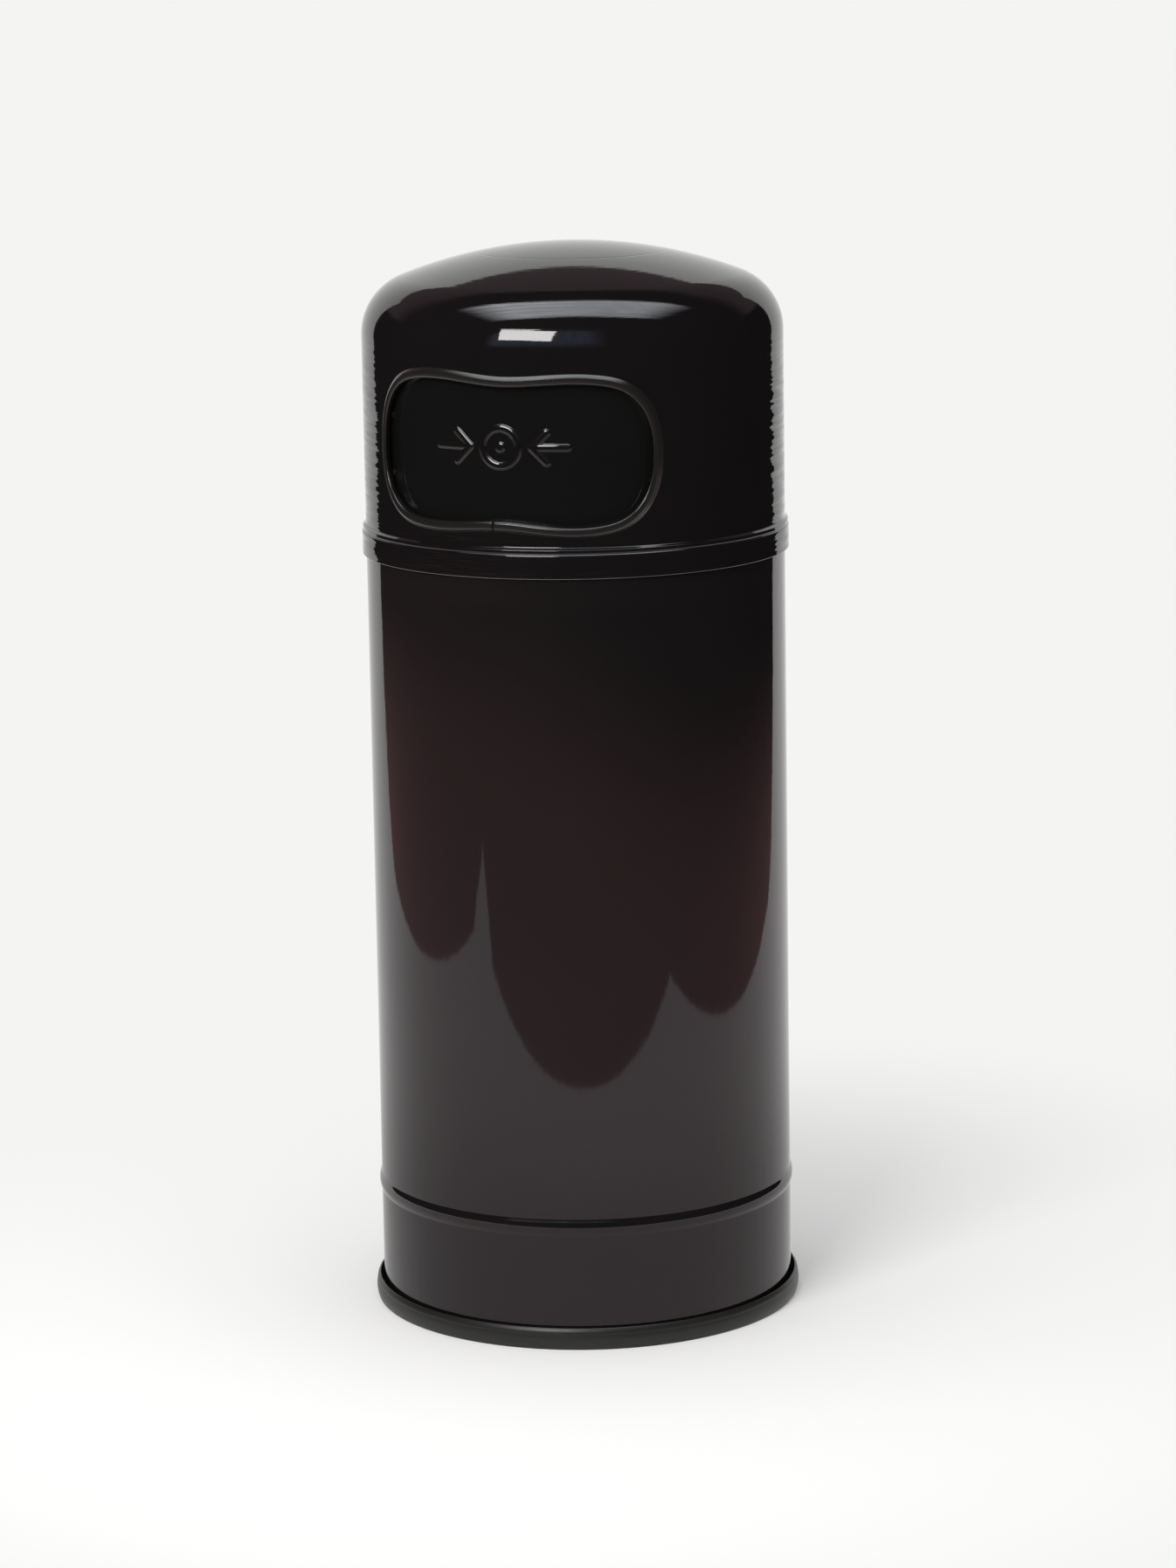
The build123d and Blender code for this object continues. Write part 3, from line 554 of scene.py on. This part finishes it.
body = Skin()
body.tube(lathe_rows(body, body_profile()))
waved = np.array(body.points)
rolled_waves(waved)
body.points = [tuple(p) for p in waved]
for bottom, top in ((22.0, 93.5), (111.5, 633.5)):
    # half of the lapped seam, as distance along the wall and rise above it
    section = [(-6, -0.5), (-6, 0.3), (-5.9, 0.5), (-5.7, 0.6)]
    section += [(a, 0.6) for a in (-4, -2, 0, 2, 4)]
    section += [(5.7, 0.6), (5.9, 0.5), (6, 0.3), (6, -0.5)]
    levels = [bottom, bottom + 0.1, bottom + 0.3, *heights(bottom + 1, top - 1, 12)]
    levels += [top - 0.3, top - 0.1, top]
    rows = []
    for level in levels:
        near_end = min(level - bottom, top - level)
        drop = 0.3 if near_end < 0.05 else 0.1 if near_end < 0.2 else 0.0
        points = []
        for a, rise in section:
            radius = WALL + rise - (drop if rise > 0 else 0)
            points.append((radius * -math.sin(a / WALL), radius * math.cos(a / WALL), level))
        rows.append(body.row(points))
    body.tube(rows, closed=False)
    body.faces += [rows[0][::-1], rows[-1]]
make_piece(body, "body_skin", "root", "body_shell", BODY_ENAMEL)


# ---- foot ring ------------------------------------------------------------------------
ring = Skin()
ring_profile = [(171.4, 0.0), (179.4, 0.0)]
ring_profile += arc_through((180.0, 0.0), (181.5, 6.5), (180.9, 12.5), 20)
ring_profile += arc_through((180.9, 12.5), (180.2, 15.7), (178.9, 17.7), 14)[1:]
ring_profile += arc_through((178.9, 17.7), (178.5, 18.0), (178.0, 17.3), 6)[1:]
ring_profile += [(178.0, 16.8), (178.2, 4.9), (177.9, 4.4), (176.8, 3.2), (176.3, 3.0)]
ring_profile += [(174.3, 3.0), (173.9, 3.4), (173.9, 13.6), (173.6, 14.0), (172.3, 14.0)]
ring_profile += [(171.9, 13.8), (171.4, 12.4), (171.4, 0.4)]
ring.tube(lathe_rows(ring, ring_profile))
make_piece(ring, "foot_ring_skin", "root", "foot_ring", RING_RUBBER)


# ---- hood shell: spun wall and dome with the opening cut through ----------------------
WINDOW_COLUMN = 51
WINDOW = heights(WINDOW_BOTTOM, WINDOW_TOP, 3)


def dome(inset):
    """Points from the top of the straight wall over the knuckle and the crown to the axis."""
    crown_z = HOOD_TOP - CROWN
    knuckle_x = WALL - KNUCKLE
    lean = math.asin(knuckle_x / (CROWN - KNUCKLE))
    knuckle_z = crown_z + knuckle_x / math.tan(lean)
    turn = 90 - math.degrees(lean)
    points = [(WALL - inset, z) for z in heights(WINDOW_TOP, knuckle_z, 4)[1:-1]]
    points += arc((knuckle_x, knuckle_z), KNUCKLE - inset, 0, turn, 44)
    points += arc((0, crown_z), CROWN - inset, turn, 90, 60)[1:]
    points[-1] = (0.0, points[-1][1])
    return points


hood = Skin()
rim = rounded(
    [(176.5, 647.5, 0), (176.5, 643.5, 0.5), (178.1, 643.5, 0.5), (178.1, 662.4, 2.0), (177.0, 663.5, 0.4),
     (177.5, 664.6, 0.3), (177.5, 666.9, 1.0), (175.0, 668.8, 2.0), (175.0, 673.0, 0)],
    closed=False,
)
inside_rim = rounded(
    [(174.0, 673.0, 0), (174.0, 668.0, 1.0), (176.1, 665.9, 0.8), (176.1, 663.3, 0.4), (177.1, 662.0, 0.4),
     (177.1, 648.1, 0.2), (176.5, 647.7, 0)],
    closed=False,
)
low_rows = lathe_rows(hood, rim[:-1])
outer_window = lathe_rows(hood, [(WALL, z) for z in WINDOW])
outer_dome = lathe_rows(hood, dome(0.0))
inner_dome = lathe_rows(hood, dome(SHEET)[::-1])
inner_window = lathe_rows(hood, [(WALL - SHEET, z) for z in WINDOW[::-1]])
inner_low = lathe_rows(hood, inside_rim[1:])
hood.tube(low_rows + [outer_window[0]], closed=False)
hood.tube([outer_window[-1]] + outer_dome + inner_dome + [inner_window[0]], closed=False)
hood.tube([inner_window[-1]] + inner_low + [low_rows[0]], closed=False)
beside = [c % COLUMNS for c in range(WINDOW_COLUMN, COLUMNS - WINDOW_COLUMN + 1)]
for rows in (outer_window, inner_window):
    hood.tube([[row[c] for c in beside] for row in rows], closed=False, around=False)

cut_reach = reach_of(front_outline(*CUT, swell=1.0))
window_columns = range(-WINDOW_COLUMN, WINDOW_COLUMN + 1)
cut_loops = []
for rows, radius in ((outer_window, WALL), (inner_window[::-1], WALL - SHEET)):
    grid = [[row[c % COLUMNS] for c in window_columns] for row in rows]
    sides = [radius * math.sin(c * 2 * math.pi / COLUMNS) for c in window_columns]
    seats = [[(x, z) for x in sides] for z in WINDOW]
    patch = spread_to(hood, *border_of(grid, seats), cut_reach, radius, 6)
    hood.tube(patch if radius == WALL else patch[::-1], closed=False)
    cut_loops.append(patch[-1])
hood.strip(*cut_loops)


def radial_wall(points, normals):
    """Makes the straight wall's normals exactly radial."""
    radius = np.hypot(points[:, 0], points[:, 1])
    for wall, sign in ((WALL, 1), (WALL - SHEET, -1)):
        on = (abs(radius - wall) < 1e-4) & (points[:, 2] > WINDOW_BOTTOM - 1) & (points[:, 2] < 825)
        normals[on] = sign * np.column_stack((points[on, :2] / radius[on, None], np.zeros(on.sum())))


make_piece(hood, "hood_skin", "hood", "hood_shell", HOOD_ENAMEL, radial_wall)


# ---- aperture trim: rubber channel pressed over the cut edge, butted in the lower run --
def flat_outline(outline):
    """Outline with its width unrolled along the wall, resampled evenly from the butt joint."""
    along = WALL * np.arcsin(outline[:, 0] / WALL)
    flat = np.column_stack((along, outline[:, 1]))
    joint = math.radians(-2.2) * WALL
    low = np.where(flat[:, 1] < OPENING_Z)[0]
    start = low[np.argmin(abs(flat[low, 0] - joint))]
    flat = np.roll(flat, -start, axis=0)
    flat = np.vstack((flat, flat[:1]))
    step = np.concatenate(([0], np.cumsum(np.linalg.norm(np.diff(flat, axis=0), axis=1))))
    even = np.linspace(0.15, step[-1] - 0.15, 520)
    return np.column_stack([np.interp(even, step, flat[:, i]) for i in (0, 1)])


path = flat_outline(front_outline(*CUT, swell=1.0))
ahead = np.gradient(path, axis=0)
ahead /= np.linalg.norm(ahead, axis=1, keepdims=True)
outward = np.column_stack((ahead[:, 1], -ahead[:, 0]))
if outward[0] @ (path[0] - np.array((0, OPENING_Z))) < 0:
    outward = -outward

# across the cut edge, outward, and radius
trim_section = [(0.0, 174.95), (5.0, 174.95)]
trim_section += arc_through((5.0, 175.15), (3.55, 176.7), (2.0, 177.9), 10)
trim_section += [(a, 178.0 - 0.02 * (a - 0.75) ** 2) for a in (1.9, 1.3, 0.75, 0.2, -0.4)]
trim_section += arc((-0.8, 175.3), 2.7, 102, 180, 10)
trim_section += rounded(
    [(-3.5, 173.0, 0), (-3.5, 170.6, 0.8), (5.0, 170.6, 0.8), (5.0, 174.05, 0.3), (0.0, 174.05, 0)],
    closed=False,
    steps=4,
)
dice = np.random.default_rng(5)
lengths = np.linspace(0, 2 * math.pi, len(path))


def unevenness(low, high, counts):
    """Small irregular waves along the trim."""
    return sum(dice.uniform(low, high) * np.sin(k * lengths + dice.uniform(0, 6)) for k in counts)


sway = unevenness(0.02, 0.06, (7, 11, 17, 26))
squeeze = unevenness(0.01, 0.03, (9, 14, 23))
trim = Skin()
trim_rows = []
for place, (spot, out) in enumerate(zip(path, outward)):
    points = []
    near_end = min(place, len(path) - 1 - place)
    for across, radius in trim_section:
        proud = max(radius - WALL, 0) / 3
        shrink = 0.15 if near_end == 0 else 0.04 if near_end == 1 else 0.0
        across = across * (1 - 0.03 * shrink) + sway[place] * proud
        radius -= (0.12 + squeeze[place] + shrink) * proud
        x = WALL * math.sin((spot[0] + out[0] * across) / WALL)
        points.append(on_wall(x, spot[1] + out[1] * across, radius))
    trim_rows.append(trim.row(points))
rightward = path[0, 0] < path[5, 0]
ordered = trim_rows[::-1] if rightward else trim_rows
trim.tube(ordered, closed=False)
trim.faces += [ordered[0][::-1], ordered[-1]]
make_piece(trim, "aperture_trim_skin", "hood", "aperture_trim", TRIM_RUBBER)


# ---- flap: curved panel with raised symbol, lip, hinge barrels and ribs ---------------
def symbol_height(x, z):
    """Height of the raised push symbol: a ring and dot, with an arrow from each side."""
    x, z = x - SYMBOL[0], z - SYMBOL[1]
    half = 3.0

    def stroke(ax, az, bx, bz):
        run = (bx - ax) ** 2 + (bz - az) ** 2
        share = np.clip(((x - ax) * (bx - ax) + (z - az) * (bz - az)) / run, 0, 1)
        return np.hypot(x - ax - share * (bx - ax), z - az - share * (bz - az)) - half

    distance = np.minimum(abs(np.hypot(x, z) - 15.25) - half, np.hypot(x, z) - 4.2)
    for side in (-1, 1):
        tip = side * 26.25
        distance = np.minimum(distance, stroke(tip, 0, side * 54.5, 0))
        for rise in (-12, 12):
            distance = np.minimum(distance, stroke(tip, 0, tip + side * 12, rise))
    shoulder = np.clip(-distance / 0.5, 0, 1)
    bevel = np.clip((-distance - 0.5) / 1.1, 0, 1)
    return 0.8 * np.sqrt(1 - (1 - shoulder) ** 2) + 0.4 * bevel


flap = Skin()
panel_x = np.linspace(-64, 58, 306)
panel_z = np.linspace(726.5, 770.5, 111)
seats = [[(x, z) for x in panel_x] for z in panel_z]
front_grid, back_grid = [], []
for z in panel_z:
    rise = symbol_height(panel_x, np.full(len(panel_x), z))
    turn = np.arcsin(panel_x / FLAP_FACE)
    face = FLAP_FACE + rise
    raised = np.column_stack((face * np.sin(turn), -face * np.cos(turn), np.full(len(turn), z)))
    front_grid.append(flap.row(raised))
    back_grid.append(flap.row([on_wall(x, z, FLAP_BACK) for x in panel_x]))
for k in range(len(panel_z) - 1):
    flap.strip(front_grid[k], front_grid[k + 1], closed=False)
    flap.strip(back_grid[k + 1], back_grid[k], closed=False)
_, places = border_of(front_grid, seats)
lip_section = ((0.0, 166.8), (0.0, 161.0), (0.2, 160.6), (0.6, 160.5))
lip_section += ((1.9, 160.5), (2.3, 160.6), (2.5, 161.0), (2.5, 166.8))
insets = {0.1, 0.35, 0.8} | {inset for inset, _ in lip_section}
edge_reach = {inset: reach_of(front_outline(*(v - inset for v in FLAP))) for inset in insets}
front_rows = spread_to(flap, *border_of(front_grid, seats), edge_reach[0.8], FLAP_FACE, 16)
back_rows = spread_to(flap, *border_of(back_grid, seats), edge_reach[0.8], FLAP_BACK, 12)
edge_rows = [front_rows[-1]]
edge_section = ((0.35, 168.9), (0.1, 168.6), (0.0, 168.2), (0.0, 167.3), (0.1, 166.9), (0.35, 166.6))
for inset, radius in edge_section:
    edge_rows.append(spread_to(flap, places, places, edge_reach[inset], radius, 1)[-1])
edge_rows.append(back_rows[-1])
flap.tube(edge_rows[::-1], closed=False)
flap.tube(front_rows[::-1], closed=False)
flap.tube(back_rows, closed=False)

LIP_TOP = 785.0
lip_rows = []
for x, z in places:
    angle = math.atan2(z - OPENING_Z, x)
    if OPENING_Z + edge_reach[0.0](angle) * math.sin(angle) >= LIP_TOP:
        continue
    points = []
    for inset, radius in lip_section:
        reach = edge_reach[inset](angle)
        points.append(on_wall(reach * math.cos(angle), OPENING_Z + reach * math.sin(angle), radius))
    lip_rows.append((angle, points))
lip_rows.sort(key=lambda item: (item[0] - math.pi / 2) % (2 * math.pi))
lip = [flap.row(points) for _, points in lip_rows]
flap.tube(lip, closed=False)
flap.faces += [lip[0][::-1], lip[-1]]


def plate(skin, outline, x_from, x_to, edge=0.4):
    """Flat plate across X with broken edges; its (y, z) outline runs counterclockwise from +X."""
    outline = np.array(outline, float)
    along = np.roll(outline, -1, axis=0) - outline
    along /= np.linalg.norm(along, axis=1, keepdims=True)
    inward = np.column_stack((-along[:, 1], along[:, 0]))
    both = inward + np.roll(inward, 1, axis=0)
    inset = outline + both / (1 + (inward * np.roll(inward, 1, axis=0)).sum(axis=1))[:, None] * edge
    low, high = sorted((x_from, x_to))
    rows = [
        skin.row((x, y, z) for y, z in ring)
        for x, ring in ((low, inset), (low + edge, outline), (high - edge, outline), (high, inset))
    ]
    skin.tube(rows, closed=False)
    skin.faces += [rows[0][::-1], rows[-1]]


RIB_ROOT = 167.75  # inside the panel, so that the rib's foot is buried in it
RIB_WIDTH = 3
barrel = [(40.0, 3.1), (40.0, 5.2), (40.1, 5.6), (40.5, 6.0), (69.5, 6.0)]
barrel += [(69.9, 5.6), (70.0, 5.2), (70.0, 3.1), (69.6, 2.58), (40.4, 2.58)]
turns = np.arange(56) * 2 * math.pi / 56
for side in (-1, 1):
    rows = []
    for along, radius in barrel:
        rows.append(
            flap.row(
                (side * along, HINGE[0] + side * radius * math.cos(t), HINGE[1] + radius * math.sin(t))
                for t in turns
            )
        )
    flap.tube(rows)
    for rib_x in (42.0, 65.0):
        root_y = -math.sqrt(RIB_ROOT**2 - (rib_x + RIB_WIDTH / 2) ** 2)
        rib = [(root_y, 781.0), (HINGE[0] + 3, 810.0), (HINGE[0] - 3, 820.0), (root_y, 802.5)]
        plate(flap, rib, side * rib_x, side * (rib_x + RIB_WIDTH))
make_piece(flap, "flap_skin", "flap", "flap_panel", FLAP_PLASTIC)


# ---- liner shell ----------------------------------------------------------------------
def liner_side(inset):
    """Corners up the liner's wall with its two swages, moved in by the sheet's thickness."""

    def radius(z):
        return 155.0 + min(max((z - TAPER_BOTTOM) / (TAPER_TOP - TAPER_BOTTOM), 0), 1) * 5.0 - inset

    corners = [(radius(18), 18.0, 0), (radius(TAPER_BOTTOM), TAPER_BOTTOM, 6)]
    for swage in (200, 420):
        corners.append((radius(swage - 7), swage - 7.0, 3))
        corners.append((radius(swage) + 2.2, swage, 3))
        corners.append((radius(swage + 7), swage + 7.0, 3))
    return corners + [(radius(TAPER_TOP), TAPER_TOP, 6), (radius(630), 630.0, 0)]


liner = Skin()
outside = rounded(liner_side(0.0), closed=False)
inside = rounded(liner_side(0.8), closed=False)
hem = arc((162.2, 637.0), 3.0, -137, 180, 28)
liner.tube(lathe_rows(liner, [(154.4, 17.6), (154.9, 17.6)] + outside + hem + inside[::-1]))
make_piece(liner, "liner_skin", "liner", "liner_shell", GALVANISED)


# ---- studio ---------------------------------------------------------------------------
VIEW_TURN = math.radians(19.45)  # how far the camera stands round from straight in front of the flap
FACING = Matrix.Rotation(VIEW_TURN, 4, "Z")
EVEN_WHITE = (0.905, 0.905, 0.895, 1)
WIDE = 60.0
TOP_CLOTH_Z = 2.15
SIDE_CLOTH_Y = -2.02


def stage_sheet(name, rows, material, camera, glossy):
    """Sheet between rows of (left, right) points set out as the camera faces. Only the chosen
    rays see it."""
    mesh = bpy.data.meshes.new(name)
    faces = [(2 * i, 2 * i + 1, 2 * i + 3, 2 * i + 2) for i in range(len(rows) - 1)]
    mesh.from_pydata([FACING @ Vector(point) for row in rows for point in row], [], faces)
    mesh.materials.append(material)
    sheet = bpy.data.objects.new(name, mesh)
    bpy.context.scene.collection.objects.link(sheet)
    sheet.visible_camera = camera
    sheet.visible_diffuse = camera
    sheet.visible_shadow = camera
    sheet.visible_transmission = camera
    sheet.visible_glossy = glossy


def paper(name, fade_start, fade_end):
    """White paper that turns into even white with distance from the object."""
    n = Nodes(name, Roughness=0.9, Specular_IOR_Level=0.1)
    n.shader.inputs["Base Color"].default_value = (0.885, 0.885, 0.88, 1)
    glow = n.new("ShaderNodeEmission")
    glow.inputs["Color"].default_value = EVEN_WHITE
    length = n.new("ShaderNodeVectorMath", operation="LENGTH")
    n.link(n.place, length.inputs[0])
    mix = n.new("ShaderNodeMixShader")
    n.link(n.span(length.outputs["Value"], fade_start, fade_end, 0.0, 1.0, True), mix.inputs["Fac"])
    n.link(n.shader.outputs["BSDF"], mix.inputs[1])
    n.link(glow.outputs["Emission"], mix.inputs[2])
    n.link(mix.outputs["Shader"], n.tree.nodes["Material Output"].inputs["Surface"])
    return n.material


def lit_cloth(name, middle, half_size, fade, strong, weak, tint, weave):
    """Glowing cloth about a point, fading out at its edges, brighter on the left, drawn with folds."""
    n = Nodes(name)
    turned = n.new("ShaderNodeVectorRotate", rotation_type="Z_AXIS")
    n.link(n.place, turned.inputs["Vector"])
    turned.inputs["Angle"].default_value = -VIEW_TURN
    split = n.new("ShaderNodeSeparateXYZ")
    n.link(turned.outputs["Vector"], split.inputs["Vector"])
    share = 1.0
    for axis, centre, half, soft in zip("XYZ", middle, half_size, fade):
        if half:
            off = n.math("ABSOLUTE", n.math("SUBTRACT", split.outputs[axis], centre))
            share = n.math("MULTIPLY", share, n.span(off, half - soft, half, 1.0, 0.0, True))
    left, dimmed = middle[0] - half_size[0], middle[0] + 0.2 * half_size[0]
    level = n.span(split.outputs["X"], left, dimmed, strong, weak)
    folds = n.new("ShaderNodeVectorMath", operation="MULTIPLY")
    n.link(turned.outputs["Vector"], folds.inputs[0])
    folds.inputs[1].default_value = weave
    folded = n.span(n.noise(1.0, 3, 0.6, folds.outputs["Vector"]), 0.3, 0.7, 0.72, 1.2)
    level = n.math("MULTIPLY", level, folded)
    glow = n.new("ShaderNodeEmission")
    glow.inputs["Color"].default_value = tint
    n.link(n.math("MULTIPLY", share, level), glow.inputs["Strength"])
    clear = n.new("ShaderNodeBsdfTransparent")
    both = n.new("ShaderNodeAddShader")
    n.link(glow.outputs["Emission"], both.inputs[0])
    n.link(clear.outputs["BSDF"], both.inputs[1])
    n.link(both.outputs["Shader"], n.tree.nodes["Material Output"].inputs["Surface"])
    return n.material


stage_sheet(
    "floor",
    [[(-WIDE, -WIDE, 0), (WIDE, -WIDE, 0)], [(-WIDE, WIDE, 0), (WIDE, WIDE, 0)]],
    paper("floor_paper", 0.34, 0.95),
    camera=True,
    glossy=False,
)
# the same paper as reflections see it: a pointed front edge, then a flat run that curves up behind
rolled_sheet = [(-1.0, 0.0)]
rolled_sheet += [
    (0.9 + 0.6 * math.sin(t), 0.6 - 0.6 * math.cos(t)) for t in np.linspace(0, math.pi / 2, 13)
]
rolled_sheet.append((1.5, 1.95))
paper_rows = [[(-1.7, -1.28, 0), (-1.7, -1.28, 0)], [(-1.43, -0.85, 0), (-1.1, -1.0, 0)]]
for y, z in rolled_sheet:
    paper_rows.append([(-1.42 - 0.06 * (y + 1), max(y, -0.82), z), (1.04 + 0.2 * (y + 1), y, z)])
stage_sheet(
    "reflected_paper",
    paper_rows,
    paper("reflected_paper", 0.45, 1.1),
    camera=False,
    glossy=True,
)
stage_sheet(
    "top_cloth",
    [[(-1.25, -0.95, TOP_CLOTH_Z), (1.4, -0.95, TOP_CLOTH_Z)],
     [(-1.25, 0.1, TOP_CLOTH_Z), (1.4, 0.1, TOP_CLOTH_Z)]],
    lit_cloth(
        "top_cloth",
        middle=(0.07, -0.42, TOP_CLOTH_Z),
        half_size=(1.3, 0.5, 0),
        fade=(0.75, 0.13, 0),
        strong=6.6,
        weak=4.4,
        tint=(0.93, 0.955, 1.0, 1),
        weave=(0.6, 16.0, 1.0),
    ),
    camera=False,
    glossy=True,
)
stage_sheet(
    "side_cloth",
    [[(-2.3, SIDE_CLOTH_Y, 0.9), (0.8, SIDE_CLOTH_Y, 0.9)],
     [(-2.3, SIDE_CLOTH_Y, 2.4), (0.8, SIDE_CLOTH_Y, 2.4)]],
    lit_cloth(
        "side_cloth",
        middle=(-0.75, SIDE_CLOTH_Y, 1.6),
        half_size=(1.5, 0, 0.68),
        fade=(0.6, 0, 0.35),
        strong=0.85,
        weak=0.58,
        tint=(0.44, 0.56, 0.82, 1),
        weave=(22.0, 1.0, 2.0),
    ),
    camera=False,
    glossy=True,
)

world = bpy.data.worlds.new("studio")
bpy.context.scene.world = world
world.use_nodes = True


class WorldNodes(Nodes):
    """The same short hand for the world's nodes, placed by direction."""

    def __init__(self):
        self.tree = world.node_tree
        self.place = self.new("ShaderNodeTexCoord").outputs["Generated"]


w = WorldNodes()


def dot(direction):
    node = w.new("ShaderNodeVectorMath", operation="DOT_PRODUCT")
    w.link(w.place, node.inputs[0])
    node.inputs[1].default_value = direction
    return node.outputs["Value"]


rising = dot((0, 0, 1))
across = dot(FACING @ Vector((1, 0, 0)))
tilted = w.math("ADD", rising, w.math("MULTIPLY", across, 0.013))
near_boards, far_boards = (0.4, 0.26, 0.275, 1), (0.32, 0.176, 0.182, 1)
boards = w.mixed(w.span(tilted, -0.27, -0.21, 0, 1), near_boards, far_boards)
room = w.mixed(w.span(tilted, -0.215, -0.155, 0, 1, True), boards, (0.012, 0.01, 0.011, 1))
behind = w.span(dot(FACING @ Vector((0, 1, 0))), 0.3, 0.55, 0, 1, True)
above_paper = w.math("MULTIPLY", w.span(rising, 0.3, 0.35, 0, 1), w.span(rising, 0.74, 0.84, 1, 0, True))
room = w.mixed(w.math("MULTIPLY", behind, above_paper), room, (0.16, 0.115, 0.125, 1))
path_kind = w.new("ShaderNodeLightPath")
lit = w.mixed(path_kind.outputs["Is Glossy Ray"], (0.84, 0.84, 0.84, 1), room)
seen = w.mixed(path_kind.outputs["Is Camera Ray"], lit, EVEN_WHITE)
w.link(seen, w.tree.nodes["Background"].inputs["Color"])


def softbox(name, place, aim, width, height, radiance, colour):
    """Rectangular lamp of one brightness, placed and aimed as the camera faces."""
    data = bpy.data.lights.new(name, "AREA")
    data.shape = "RECTANGLE"
    data.size, data.size_y = width, height
    data.energy = radiance * math.pi * width * height
    data.color = colour
    lamp = bpy.data.objects.new(name, data)
    bpy.context.scene.collection.objects.link(lamp)
    lamp.location = FACING @ Vector(place)
    lamp.rotation_euler = (FACING @ (Vector(aim) - Vector(place))).to_track_quat("-Z", "Y").to_euler()
    lamp.visible_camera = False


softbox(
    "key_softbox",
    place=(-0.875, -1.86, 1.755),
    aim=(0, -0.1, 0.86),
    width=1.1,
    height=0.68,
    radiance=15.5,
    colour=(1.0, 0.985, 0.955),
)

# ---- camera ---------------------------------------------------------------------------
CAMERA_PLACE = (0.0076, -3.9725, 1.2399)
CAMERA_TILT = math.radians(90 - 11.374)
CAMERA_ROLL, CAMERA_PAN = -0.0162, 0.00017

camera_data = bpy.data.cameras.new("camera")
camera_data.lens = 110.08
camera_data.sensor_width = 36
camera = bpy.data.objects.new("camera", camera_data)
bpy.context.scene.collection.objects.link(camera)
camera.matrix_world = (
    Matrix.Translation(FACING @ Vector(CAMERA_PLACE))
    @ FACING
    @ Matrix.Rotation(CAMERA_TILT, 4, "X")
    @ Matrix.Rotation(CAMERA_ROLL, 4, "Z")
    @ Matrix.Rotation(CAMERA_PAN, 4, "Y")
)
bpy.context.scene.camera = camera
bpy.context.scene.view_settings.view_transform = "Standard"
